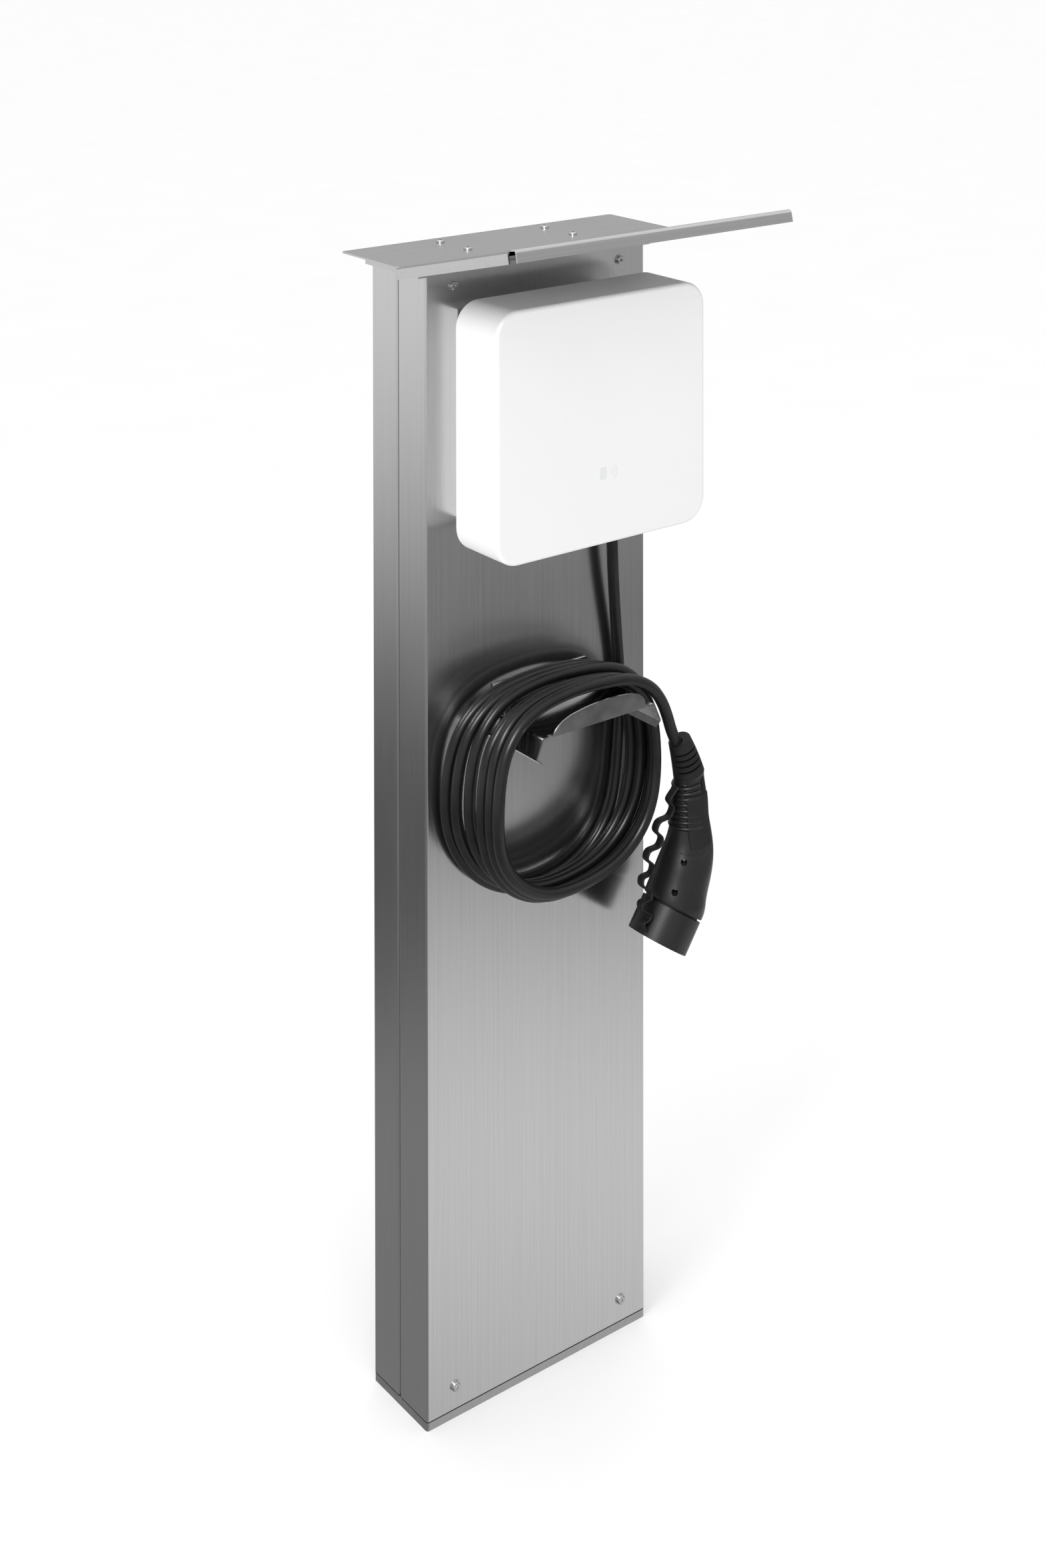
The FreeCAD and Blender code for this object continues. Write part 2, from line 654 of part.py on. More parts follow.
shell = shell.cut(rod(feed_radius, V(0, housing_back - box_wall - 1, feed_z), V(0, housing_back + 1, feed_z)))
fixing_x, fixing_z = bracket_screw_x / 2, bracket_screw_z / 2
fixing_at = [V(sx * fixing_x, housing_back - box_wall, box_centre_z + sz * fixing_z)
             for sx in (-1, 1) for sz in (-1, 1)]
shell = shell.cut(group([rod(thread_radius, p - Y_AXIS, p + Y_AXIS * (box_wall + 1)) for p in fixing_at]))
save("wallbox_housing", shell)
save("wallbox_screws", group([button_screw(p, Y_AXIS, shank_length=fixing_length) for p in fixing_at]))

seal = rounded_slab(tray_width, tray_height, tray_radius, rim_front - housing_gasket_height, rim_front,
                    box_centre_z)
seal = seal.cut(rounded_slab(tray_width - 2 * box_wall, tray_height - 2 * box_wall, tray_radius - box_wall,
                             rim_front - housing_gasket_height, rim_front, box_centre_z))
save("housing_gasket", seal)

stud_x = box_width / 2 - stud_inset_x
stud_z = box_height / 2 - stud_inset_z
stud_at = [V(sx * stud_x, tray_front, box_centre_z + sz * stud_z) for sx in (-1, 1) for sz in (-1, 1)]
save("cover_studs", group([rod(stud_radius, p, p - Y_AXIS * stud_length) for p in stud_at]))

cover = rounded_slab(box_width, box_height, box_corner_radius, cover_front, cover_back, box_centre_z)
front_rim = [e for e in cover.Edges if e.CenterOfMass.y < cover_front + 0.01]
cover = cover.makeFillet(box_edge_fillet, front_rim)
cavity = rounded_slab(box_width - 2 * box_wall, box_height - 2 * box_wall, box_corner_radius - box_wall,
                      cover_front + box_wall, cover_back, box_centre_z)
cover = cover.cut(cavity)
rib_back = rim_front - housing_gasket_height - rest_gap
rib = rounded_slab(box_width - 2 * box_wall, box_height - 2 * box_wall, box_corner_radius - box_wall,
                   rib_back - box_wall, rib_back, box_centre_z)
rib_inset = box_wall + rib_height
rib_in = rounded_slab(box_width - 2 * rib_inset, box_height - 2 * rib_inset, box_corner_radius - rib_inset,
                      rib_back - box_wall, rib_back, box_centre_z)
cover = cover.fuse(rib.cut(rib_in))
stud_tip = tray_front - stud_length
socket_mouth = stud_tip + stud_engagement
for p in stud_at:
    mouth = V(p.x, socket_mouth, p.z)
    cover = cover.fuse(rod(stud_boss_radius, V(p.x, cover_front + box_wall, p.z), mouth))
for p in stud_at:
    mouth = V(p.x, socket_mouth, p.z)
    cover = cover.cut(rod(stud_radius + stud_running_gap, mouth, V(p.x, stud_tip - 1, p.z)))
save("wallbox_cover", cover.removeSplitter())

reader_z = box_bottom + reader_rise
cover_inside = cover_front + box_wall
save("rfid_board", rounded_slab(reader_size, reader_size, reader_corner, cover_inside,
                                cover_inside + board_thickness, reader_z, centre_x=reader_x))
guide_at = V(-reader_size, cover_inside, reader_z)
save("status_light_guide", rod(guide_radius, guide_at, guide_at + Y_AXIS * guide_length))


# ---- inside the housing -------------------------------------------------------------------------
inner_wall = housing_back - box_wall
device_z = box_centre_z + device_rise
save("device_rail", top_hat_rail(-device_rail_half, device_rail_half, inner_wall, device_z))


def rail_device(x0, x1):
    """Rail-mounted device: a body with a raised nose, standing on the top-hat rail."""
    y_back = inner_wall - rail_profile_depth
    body = block(x0, x1, y_back - device_depth, y_back,
                 device_z - device_height / 2, device_z + device_height / 2)
    nose = block(x0, x1, y_back - device_depth - device_nose_depth, y_back - device_depth,
                 device_z - device_nose_height / 2, device_z + device_nose_height / 2)
    return body.fuse(nose)


device_front = inner_wall - rail_profile_depth - device_depth - device_nose_depth
toggle_x = rcd_x0 + toggle_offset
pivot = V(toggle_x, device_front + toggle_pivot_depth, device_z)
toggle_bay = toggle_length + 1.0
rcd = rail_device(rcd_x0, rcd_x0 + rcd_width)
bay_half = toggle_width / 2 + rest_gap
rcd = rcd.cut(block(toggle_x - bay_half, toggle_x + bay_half, device_front, device_front + toggle_bay_depth,
                    device_z - toggle_bay, device_z + toggle_bay))
pin_end = toggle_width / 2 + toggle_pin
rcd = rcd.cut(rod(toggle_pivot_radius + toggle_pivot_gap, pivot - X_AXIS * pin_end, pivot + X_AXIS * pin_end))
button_at = V(rcd_x0 + test_button_offset, device_front, device_z)
rcd = rcd.cut(rod(test_button_radius + test_button_gap, button_at, button_at + Y_AXIS * test_button_bore))
save("rcd_body", rcd.removeSplitter())

lever = rod(toggle_hub_radius, pivot - X_AXIS * toggle_width / 2, pivot + X_AXIS * toggle_width / 2)
arm = block(-toggle_width / 2, toggle_width / 2, -toggle_length, 0,
            -toggle_thickness / 2, toggle_thickness / 2)
arm.rotate(V(0, 0, 0), X_AXIS, -toggle_angle)
arm.translate(pivot)
pin = rod(toggle_pivot_radius, pivot - X_AXIS * (pin_end - rest_gap), pivot + X_AXIS * (pin_end - rest_gap))
save("rcd_toggle", lever.fuse([arm, pin]).removeSplitter())
save("rcd_test_button", rod(test_button_radius, button_at - Y_AXIS * test_button_proud,
                            button_at + Y_AXIS * test_button_depth))

contactor_x0 = rcd_x0 + rcd_width + device_gap
save("contactor", rail_device(contactor_x0, contactor_x0 + contactor_width))

board_z = housing_bottom + box_wall + board_rise + board_height / 2
board_back = inner_wall - board_standoff
board_face = board_back - board_thickness
board = block(board_x - board_width / 2, board_x + board_width / 2, board_face, board_back,
              board_z - board_height / 2, board_z + board_height / 2)
relay_x, relay_y, relay_z = 18.0, 15.0, 24.0
relay_pitch, relay_count, relay_drop = 25.0, 4, 18.0
for k in range(relay_count):
    x = board_x + (k - (relay_count - 1) / 2) * relay_pitch - relay_pitch / 2
    board = board.fuse(block(x - relay_x / 2, x + relay_x / 2, board_face - relay_y, board_face,
                             board_z - relay_drop - relay_z / 2, board_z - relay_drop + relay_z / 2))
strip_length, strip_y, strip_z, strip_top = 115.0, 12.0, 12.0, 7.0
strip_high = board_z + board_height / 2 - strip_top
board = board.fuse(block(board_x - strip_length / 2, board_x + strip_length / 2, board_face - strip_y,
                         board_face, strip_high - strip_z, strip_high))
save("controller_board", board.removeSplitter())
standoff_at = [V(board_x + sx * (board_width / 2 - board_hole_inset), board_back,
                 board_z + sz * (board_height / 2 - board_hole_inset)) for sx in (-1, 1) for sz in (-1, 1)]
save("board_standoffs", group([rod(standoff_radius, p, p + Y_AXIS * board_standoff) for p in standoff_at]))

grommet_lip = 3.0
lip_start = V(0, inner_wall - grommet_lip, feed_z)
lip_end = V(0, inner_wall, feed_z)
grommet = rod(feed_radius, V(0, inner_front, feed_z), lip_end)
grommet = grommet.fuse(rod(feed_radius + grommet_lip, lip_start, lip_end))
grommet = grommet.cut(rod(feed_radius - grommet_lip, V(0, inner_front + 1, feed_z),
                          V(0, inner_wall - grommet_lip - 1, feed_z)))
save("feed_grommet", grommet)

gland_top = V(gland_x, gland_y, housing_bottom + box_wall + gland_thread)
gland_seat = V(gland_x, gland_y, housing_bottom)
gland_mid = gland_seat - Z_AXIS * gland_body_length
gland_end = gland_mid - Z_AXIS * gland_nut_length
cable_r = cable_diameter / 2
gland = rod(gland_thread_radius, gland_seat, gland_top).fuse(hexagon(gland_hex_radius, gland_mid, gland_seat))
save("gland_body", gland.cut(rod(cable_r, gland_mid, gland_top)))
gland_flat = gland_nut_length * gland_flat_share
flat_end = gland_mid - Z_AXIS * gland_flat
nut = hexagon(gland_hex_radius, flat_end, gland_mid)
dome = Part.makeCone(gland_hex_radius * math.cos(math.radians(30)), cable_r + gland_dome_wall,
                     gland_nut_length - gland_flat, flat_end, Z_AXIS * -1)
save("gland_nut", nut.fuse(dome).cut(rod(cable_r, gland_end, gland_mid)))


# ---- cable --------------------------------------------------------------------------------------
def cord_path(points):
    """Straight runs joined by tangent arcs, and the arcs' radii."""
    stops = [V(*p) for p in points]
    edges, radii = [], []
    pen = stops[0]
    for before, at, after in zip(stops, stops[1:], stops[2:]):
        u, v = (at - before), (after - at)
        reach = 0.45 * min(u.Length, v.Length)
        u.normalize()
        v.normalize()
        turn = u.getAngle(v)
        radius = reach / math.tan(turn / 2)
        enter, leave = at - u * reach, at + v * reach
        inward = (v - u).normalize()
        centre = at + inward * (radius / math.cos(turn / 2))
        edges.append(Part.LineSegment(pen, enter).toShape())
        edges.append(Part.Arc(enter, centre - inward * radius, leave).toShape())
        radii.append(radius)
        pen = leave
    edges.append(Part.LineSegment(pen, stops[-1]).toShape())
    return Part.Wire(edges), radii


def cord_tube(name, points, diameter):
    """Round cord along a path; prints the arcs' radii and checks the volume."""
    path, radii = cord_path(points)
    start = V(*points[0])
    ring = Part.Wire(Part.makeCircle(diameter / 2, start, V(*points[1]) - start))
    cord = path.makePipeShell([ring], True, False)
    expected = math.pi * diameter ** 2 / 4 * path.Length
    print(name, "radii", [round(r) for r in radii], "length", round(path.Length),
          "volume ratio", round(cord.Volume / expected, 4))
    save(name, cord)
    return cord


drop_route = [(gland_x, gland_y, gland_end.z), (100.0, -84.6, 1062.0), (104.0, -82.0, 1016.0),
              (110.5, -78.5, 970.0), (117.5, -77.0, 924.0), (123.0, -77.5, 884.0), (126.5, -79.0, 846.0)]
cord_tube("cable_drop", drop_route, cable_diameter)

lead_route = [(52.0, -150.0, 906.0), (80.0, -147.0, 900.0), (104.5, -144.6, 885.0), (123.5, -143.4, 863.5),
              (138.5, -142.8, 840.0), (151.5, -142.5, 817.0), (163.3, -142.5, 794.0), (173.6, -142.5, 770.5),
              (181.9, -142.5, 746.5)]
lead_cord = cord_tube("cable_lead", lead_route, cable_diameter)


def loop_outline(left, right, top, waist, bottom, y, grow):
    """Closed loop seen from the front: a squarer upper half over the hook, a round lower half."""
    centre = (left + right) / 2
    half = (right - left) / 2 + grow
    points = []
    for k in range(outline_points):
        turn = 2 * math.pi * k / outline_points
        c, s = math.cos(turn), math.sin(turn)
        power = 2 / coil_upper_power if s > 0 else 2 / coil_lower_power
        rise = (top - waist + grow) if s > 0 else (waist - bottom + grow)
        x = centre + half * math.copysign(abs(c) ** power, c)
        z = waist + rise * math.copysign(abs(s) ** power, s)
        points.append(V(x, y, z))
    curve = Part.BSplineCurve()
    curve.interpolate(points, PeriodicFlag=True)
    return Part.Wire(curve.toShape())


def loop_band(grow):
    """Tapered drum through the coil's back and front outlines, both grown by the same amount."""
    return Part.makeLoft([loop_outline(y=coil_back, grow=grow, **coil_at_back),
                          loop_outline(y=coil_front, grow=grow, **coil_at_front)], True, True)


outline_points = 28
coil_back = front - coil_back_gap
coil_front = coil_back - coil_depth
coil_at_back = dict(left=-150.0, right=130.0, top=904.0, waist=778.0, bottom=634.0)
coil_at_front = dict(left=-125.0, right=116.0, top=906.0, waist=790.0, bottom=668.0)
over_hook = hook_sheet / 2 + rest_gap
hook_room = [(hook_half_width + over_hook, hook_top + rest_gap), (leg_x + over_hook, leg_z),
             (leg_x - hook_return_x, leg_z - hook_return_z - over_hook)]
hook_room = hook_room + [(-x, z) for x, z in reversed(hook_room)]
hook_room = [V(x, front, z) for x, z in hook_room]
hook_block = Part.Face(Part.makePolygon(hook_room + hook_room[:1])).extrude(Y_AXIS * -hook_reach)
coil_ring = loop_band(coil_band / 2).cut(loop_band(-coil_band / 2)).cut(hook_block)
save("cable_coil", coil_ring)


# ---- plug ---------------------------------------------------------------------------------------
def in_plug(x, z):
    return V(x, plug_y, z)


def oval(centre, direction, across, thick):
    """Oval section square to the plug's centre line: across lies in the plug's plane."""
    side = direction.cross(Y_AXIS)
    points = []
    for k in range(section_points):
        turn = 2 * math.pi * k / section_points
        c, s = math.cos(turn), math.sin(turn)
        points.append(centre + side * across * math.copysign(abs(c) ** oval_power, c)
                      + Y_AXIS * thick * math.copysign(abs(s) ** oval_power, s))
    curve = Part.BSplineCurve()
    curve.interpolate(points, PeriodicFlag=True)
    return Part.Wire(curve.toShape())


def heading(degrees):
    """Downward direction in the plug's plane, leaning by degrees towards -X."""
    lean = math.radians(degrees)
    return V(-math.sin(lean), 0, -math.cos(lean))


section_points = 20
oval_power = 0.9
nose_dir = heading(plug_nose_tilt)
cap_side = heading(plug_nose_tilt + 90)
cap_end = in_plug(cap_end_x, cap_end_z)
cap_rim = cap_end - nose_dir * cap_length
mouth = cap_rim - nose_dir * cap_gap

# Stations down the handle: x, z, lean towards -X, half-width in the plug's plane, half-thickness
handle = [(181.2, 752.0, -12.0, 20.5, 19.0),
          (182.2, 722.0, -2.0, 22.8, 21.0),
          (182.7, 697.0, 0.0, 25.0, 22.5),
          (182.6, 672.0, 3.0, 29.5, 26.0),
          (179.8, 650.0, 13.0, 34.0, 31.0),
          (173.6, 630.0, 24.0, 36.5, 34.5),
          (164.0, 606.0, 31.0, 38.5, 37.5)]
stations = [(in_plug(x, z), heading(lean), a, t) for x, z, lean, a, t in handle]
handle_top, handle_dir = stations[0][0], stations[0][1]
stations.append((mouth, nose_dir, collar_radius, collar_radius))


def plug_skin(grow, overrun=0.0):
    """Plug body through its sections, each grown by the same amount; overrun lengthens both ends."""
    wires = [oval(c, d, a + grow, t + grow) for c, d, a, t in stations]
    if overrun:
        first, last = stations[0], stations[-1]
        wires[0] = oval(first[0] - first[1] * overrun, first[1], first[2] + grow, first[3] + grow)
        wires[-1] = oval(last[0] + last[1] * overrun, last[1], last[2] + grow, last[3] + grow)
    return Part.makeLoft(wires, True, False)


plug_outer = plug_skin(0.0)
plug_shell = plug_outer.cut(plug_skin(-plug_wall, overrun=plug_wall + 1))
turn = math.radians(plug_screw_turn)
driven = V(math.sin(turn), math.cos(turn), 0)
plug_screws = [(in_plug(x, z), seat) for x, z, seat in ((176.0, 738.0, 10.0), (174.0, 650.0, 20.0),
                                                        (159.0, 617.0, 20.0))]
reach = 2 * cap_radius
for p, seat in plug_screws:
    pillar = rod(plug_pillar_radius, p - driven * reach, p + driven * reach)
    plug_shell = plug_shell.fuse(pillar.common(plug_outer))
for p, seat in plug_screws:
    plug_shell = plug_shell.cut(rod(plug_recess_radius, p - driven * reach, p - driven * seat))
    plug_shell = plug_shell.cut(rod(plug_screw_radius, p - driven * (seat + 1), p + driven * plug_screw_tip))
front_room = block(0, half_w * 2, plug_y - reach, plug_y, mouth.z - reach, plug_top_z)
save("plug_shell_front", plug_shell.common(front_room))
save("plug_shell_rear", plug_shell.cut(front_room))
save("plug_screws", group([button_screw(p - driven * seat, driven, head_height=plug_screw_head,
                                        head_radius=plug_recess_radius - rest_gap,
                                        shank_radius=plug_screw_radius, shank_length=seat + plug_screw_tip)
                           for p, seat in plug_screws]))

grip_x0, grip_x1 = grip_x - grip_half_width, grip_x + grip_half_width
grip_corners = [in_plug(x, z) for x, z in ((grip_x0, grip_top), (grip_x1, grip_top), (grip_x1, grip_bottom),
                                           (grip_x0, grip_bottom))]
grip_outline = Part.makePolygon(grip_corners + grip_corners[:1])
grip_patch = Part.Face(grip_outline).extrude(Y_AXIS * -reach).cut(
    block(0, half_w * 2, plug_y - grip_depth_start, plug_y, mouth.z, plug_top_z))
save("plug_grip", plug_skin(grip_thickness).common(grip_patch).cut(plug_outer))

plug_top = in_plug(plug_top_x, plug_top_z)
relief_mid = in_plug(relief_mid_x, relief_mid_z)
relief_rows = [(plug_top, heading(-24.0), relief_top_radius), (relief_mid, heading(-18.0), relief_mid_radius),
               (handle_top, handle_dir, relief_bottom_radius)]
relief = Part.makeLoft([oval(c, d, r, r) for c, d, r in relief_rows], True, False)
relief = relief.cut(lead_cord)
relief_dir = relief_rows[1][1]
behind = block(0, half_w * 2, plug_y - relief_slot_side, half_w, mouth.z, plug_top_z)
for k in range(relief_slots):
    at = relief_mid + relief_dir * (relief_slot_pitch * (k - (relief_slots - 1) / 2))
    slot = tube(cap_radius, relief_slot_floor, at, at + relief_dir * relief_slot_width)
    relief = relief.cut(slot.cut(behind))
save("plug_bend_relief", relief)

lead_end = V(*lead_route[-1])
lead_dir = (lead_end - V(*lead_route[-2])).normalize()
save("cable_clamp", tube(clamp_radius, cable_r, lead_end - lead_dir * (clamp_length + 0.5),
                         lead_end - lead_dir * 0.5))

pin_face = mouth + nose_dir * plug_nose_length
carrier = rod(plug_nose_radius, mouth - nose_dir * nose_seat, pin_face)
side = nose_dir.cross(Y_AXIS)
contact_spots = [(0, 0), (-15, -2), (15, -2), (-8, 13), (8, 13), (-8, -15), (8, -15)]
contact_at = [pin_face + side * u + Y_AXIS * w for u, w in contact_spots]
for at in contact_at:
    carrier = carrier.cut(rod(contact_radius + contact_wall, at - nose_dir * contact_depth, at))
save("plug_nose", carrier)
contacts = [tube(contact_radius + contact_wall, contact_radius, at - nose_dir * contact_depth,
                 at - nose_dir * contact_recess) for at in contact_at]
save("plug_contacts", group(contacts))
save("plug_seal_ring", tube(plug_nose_radius + plug_wall, plug_nose_radius, mouth, cap_rim - nose_dir * 0.5))

cap = rod(cap_radius, cap_rim, cap_end)
cap = cap.cut(rod(plug_nose_radius + rest_gap, cap_rim, pin_face + nose_dir))
cap = cap.cut(rod(cap_radius - cap_wall, cap_rim + nose_dir * cap_grip, cap_end - nose_dir * cap_wall))
save("dust_cap", cap)

strap_root = in_plug(strap_root_x, strap_root_z)
strap_top = strap_root + cap_side * strap_width - Z_AXIS * strap_width
strap_foot = cap_end - nose_dir * 6 + cap_side * (cap_radius + strap_thickness / 2 + rest_gap)
strap_run = strap_foot - strap_top
strap_side = strap_run.cross(Y_AXIS).normalize()
strap_line = [strap_root]
for k in range(strap_waves):
    along = (k + 0.5) / strap_waves
    aside = (strap_swing if k % 2 else -strap_swing) * (1 - strap_fade * along)
    strap_line.append(strap_top + strap_run * along + strap_side * aside)
strap_line.append(strap_foot)
save("cap_strap", folded_sheet([(p.x, p.z) for p in strap_line], strap_thickness, strap_fold,
                               lambda x, z: V(x, plug_y - strap_width / 2, z), Y_AXIS * strap_width))
print("cap axis", nose_dir, "pin face", pin_face, "toggle pivot", pivot)
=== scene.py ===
import bpy
import math
import numpy as np
from mathutils import Matrix, Vector


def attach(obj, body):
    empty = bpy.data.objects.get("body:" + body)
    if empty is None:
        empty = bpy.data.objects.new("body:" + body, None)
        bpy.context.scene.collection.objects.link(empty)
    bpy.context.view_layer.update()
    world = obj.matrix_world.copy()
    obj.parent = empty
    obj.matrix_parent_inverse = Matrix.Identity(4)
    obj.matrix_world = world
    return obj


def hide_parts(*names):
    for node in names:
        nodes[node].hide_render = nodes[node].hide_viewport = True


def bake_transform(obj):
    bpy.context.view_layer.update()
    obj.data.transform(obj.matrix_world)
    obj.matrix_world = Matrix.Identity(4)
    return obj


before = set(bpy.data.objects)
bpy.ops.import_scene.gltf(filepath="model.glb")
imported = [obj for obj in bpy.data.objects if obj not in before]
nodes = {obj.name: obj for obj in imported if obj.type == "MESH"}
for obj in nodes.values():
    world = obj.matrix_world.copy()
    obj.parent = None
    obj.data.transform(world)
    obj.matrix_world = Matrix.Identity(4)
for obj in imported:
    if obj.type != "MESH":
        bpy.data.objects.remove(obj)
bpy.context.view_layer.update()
scene = bpy.context.scene


# ---- Camera --------------------------------------------------------------------------------------
# A view camera with perspective control, as used for product shots: it stands high at the front left,
# looks almost level so that uprights stay upright, and its frame is slid down and left onto the post.
camera_place = Vector((-1.660, -2.420, 1.9885))
camera_yaw = math.radians(40.014)
camera_pitch = math.radians(0.836)
slide_across, slide_down = -0.09198, -0.41056
lens_level = 51.866                      # lens for the level view, mm on a 36 mm frame height
frame_height = 36
sight_range = 50                         # metres

level = Vector((math.sin(camera_yaw), math.cos(camera_yaw), 0))
right = Vector((math.cos(camera_yaw), -math.sin(camera_yaw), 0))
upright = Vector((0, 0, 1))
ahead = level * math.cos(camera_pitch) - upright * math.sin(camera_pitch)
above = upright * math.cos(camera_pitch) + level * math.sin(camera_pitch)
centre_ray = ahead + right * slide_across + above * slide_down

camera_data = bpy.data.cameras.new("camera")
camera_data.lens = lens_level * centre_ray.length
camera_data.sensor_width = frame_height
camera_data.clip_end = sight_range
camera = bpy.data.objects.new("camera", camera_data)
stand = bpy.data.objects.new("camera_stand", None)
scene.collection.objects.link(camera)
scene.collection.objects.link(stand)
columns = Matrix((right, above, -centre_ray.normalized())).transposed()
camera.parent = stand
camera.matrix_parent_inverse = Matrix.Translation(camera_place) @ columns.to_4x4()
scene.camera = camera


# ---- Studio --------------------------------------------------------------------------------------
# White surroundings as a product studio has: the open sky of the room is even and white, and what
# mirrors itself in the steel is banded from floor to ceiling, dark between the lit floor and the walls.
class Shade:
    """An output in a node tree. Arithmetic on it adds Math nodes, and node() adds any other node."""

    def __init__(self, tree, socket=None):
        self.tree, self.socket = tree, socket

    def node(self, kind, inputs=(), output=0, stops=(), **settings):
        """Adds a node: its settings first, then a ramp's stops, then its inputs' values or links."""
        made = self.tree.nodes.new("ShaderNode" + kind)
        for name, value in settings.items():
            setattr(made, name, value)
        if stops:
            ramp = made.color_ramp.elements
            while len(ramp) < len(stops):
                ramp.new(0.5)
            for step, (place, grey) in zip(ramp, stops):
                step.position, step.color = place, (grey, grey, grey, 1)
        for place, value in dict(inputs).items():
            if isinstance(value, Shade):
                self.tree.links.new(value.socket, made.inputs[place])
            else:
                made.inputs[place].default_value = value
        return Shade(self.tree, made.outputs[output])

    def maths(self, operation, *values):
        return self.node("Math", dict(enumerate(values)), operation=operation)

    def between(self, low, high):
        """0 below low, 1 above high, and a smooth rise between them."""
        return self.node("MapRange", {0: self, 1: low, 2: high}, interpolation_type="SMOOTHSTEP")

    def __add__(self, other): return self.maths("ADD", self, other)
    def __radd__(self, other): return self.maths("ADD", other, self)
    def __sub__(self, other): return self.maths("SUBTRACT", self, other)
    def __rsub__(self, other): return self.maths("SUBTRACT", other, self)
    def __mul__(self, other): return self.maths("MULTIPLY", self, other)
    def __rmul__(self, other): return self.maths("MULTIPLY", other, self)
    def __truediv__(self, other): return self.maths("DIVIDE", self, other)


room_light = 1.04                        # what lights the post
room_back = 1.06                         # what the camera sees behind it
white = (1, 1, 1, 1)
# how bright the room is in the steel, by the rise of the direction looked in, in front and to the left
front_bands = ((-0.62, 0.48), (-0.57, 0.62), (-0.545, 0.84), (-0.517, 0.98), (-0.489, 0.96),
               (-0.459, 0.86), (-0.43, 0.66), (-0.402, 0.14), (-0.36, 0.05), (-0.32, 0.16), (-0.26, 0.38),
               (-0.20, 0.46), (-0.12, 0.50), (0.05, 0.46), (0.35, 0.52), (0.60, 0.95))
left_bands = ((-0.62, 0.24), (-0.52, 0.24), (-0.49, 0.34), (-0.46, 0.15), (-0.43, 0.06), (-0.395, 0.06),
              (-0.36, 0.13), (-0.32, 0.34), (-0.28, 0.62), (-0.24, 0.80), (-0.20, 0.92), (-0.10, 0.90),
              (0.05, 0.46), (0.35, 0.52), (0.60, 0.95))
band_low, band_high = -0.7, 0.7
side_begins, side_full = -0.15, 0.35     # how far to the left a direction takes the left bands

world = bpy.data.worlds.new("studio")
world.use_nodes = True
room = Shade(world.node_tree)
backdrop = world.node_tree.nodes["Background"]
looking = room.node("TexCoord")
x_way = room.node("SeparateXYZ", {0: looking}, output=0)
z_way = room.node("SeparateXYZ", {0: looking}, output=2)
band_span = band_high - band_low
in_front, on_left = (room.node("ValToRGB", {0: (z_way - band_low) / band_span},
                               stops=[((rise - band_low) / band_span, light) for rise, light in bands])
                     for bands in (front_bands, left_bands))
leftwards = (0 - x_way).between(side_begins, side_full)
mirrored = in_front * (1 - leftwards) + on_left * leftwards
path = world.node_tree.nodes.new("ShaderNodeLightPath")
seen = Shade(world.node_tree, path.outputs["Is Camera Ray"])
glossy = Shade(world.node_tree, path.outputs["Is Glossy Ray"])
even = room_light + seen * (room_back - room_light)
level_of_light = even * (1 - glossy) + mirrored * glossy
backdrop.inputs["Color"].default_value = white
world.node_tree.links.new(level_of_light.socket, backdrop.inputs["Strength"])
scene.world = world
scene.view_settings.view_transform = "Standard"


def softbox(name, place, aim, size, power, lights, mirrors):
    """A square lamp at place that points at aim. It lights what is matt, mirrors itself, or both."""
    lamp = bpy.data.lights.new(name, "AREA")
    lamp.size, lamp.energy = size, power
    holder = bpy.data.objects.new(name, lamp)
    scene.collection.objects.link(holder)
    holder.location = place
    holder.rotation_euler = (Vector(aim) - Vector(place)).to_track_quat("-Z", "Y").to_euler()
    holder.visible_diffuse, holder.visible_glossy = lights, mirrors


softbox("front_softbox", (-1.5, -3.0, 2.4), (0, 0, 0.9), 1.1, 13, True, False)
softbox("left_softbox", (-2.6, -0.9, 1.75), (0, -0.1, 1.2), 1.2, 22, True, False)
softbox("glint_strip", (-2.0, -1.9, 3.0), (0, -0.1, 0.8), 0.7, 75, False, True)

floor_half = 30                          # metres, so that its edge runs out in the white
floor_mesh = bpy.data.meshes.new("floor")
floor_mesh.from_pydata([(-floor_half, -floor_half, 0), (floor_half, -floor_half, 0),
                        (floor_half, floor_half, 0), (-floor_half, floor_half, 0)], [], [(0, 1, 2, 3)])
floor = bpy.data.objects.new("floor", floor_mesh)
scene.collection.objects.link(floor)
floor.visible_glossy = False


def finish(name, colour, roughness, metallic=0.0, coat=0.0, specular=0.5):
    """A new material: its Principled shader, with what is the same all over set on its sockets."""
    made = bpy.data.materials.new(name)
    made.use_nodes = True
    shader = made.node_tree.nodes["Principled BSDF"]
    shader.inputs["Base Color"].default_value = (*colour, 1)
    shader.inputs["Roughness"].default_value = roughness
    shader.inputs["Metallic"].default_value = metallic
    shader.inputs["Coat Weight"].default_value = coat
    shader.inputs["Specular IOR Level"].default_value = specular
    return made, Shade(made.node_tree), shader


def stretched(shade, scale, detail=2.0, rough=0.5):
    """Noise on the object's own metres, with its own scale along each axis."""
    at = shade.node("TexCoord", output=3)
    at = shade.node("Mapping", {0: at, 3: scale})
    return shade.node("TexNoise", {"Vector": at, "Scale": 1.0, "Detail": detail, "Roughness": rough})


def tinted(shade, amount, dark, light):
    """The colour between dark, which may be a link, and light at that amount."""
    dark = dark if isinstance(dark, Shade) else (*dark, 1)
    return shade.node("Mix", {0: amount, 6: dark, 7: (*light, 1)}, output=2, data_type="RGBA")


def join(shade, link, shader, socket):
    """Links a value or colour to a socket of the shader."""
    shade.tree.links.new(link.socket, shader.inputs[socket])


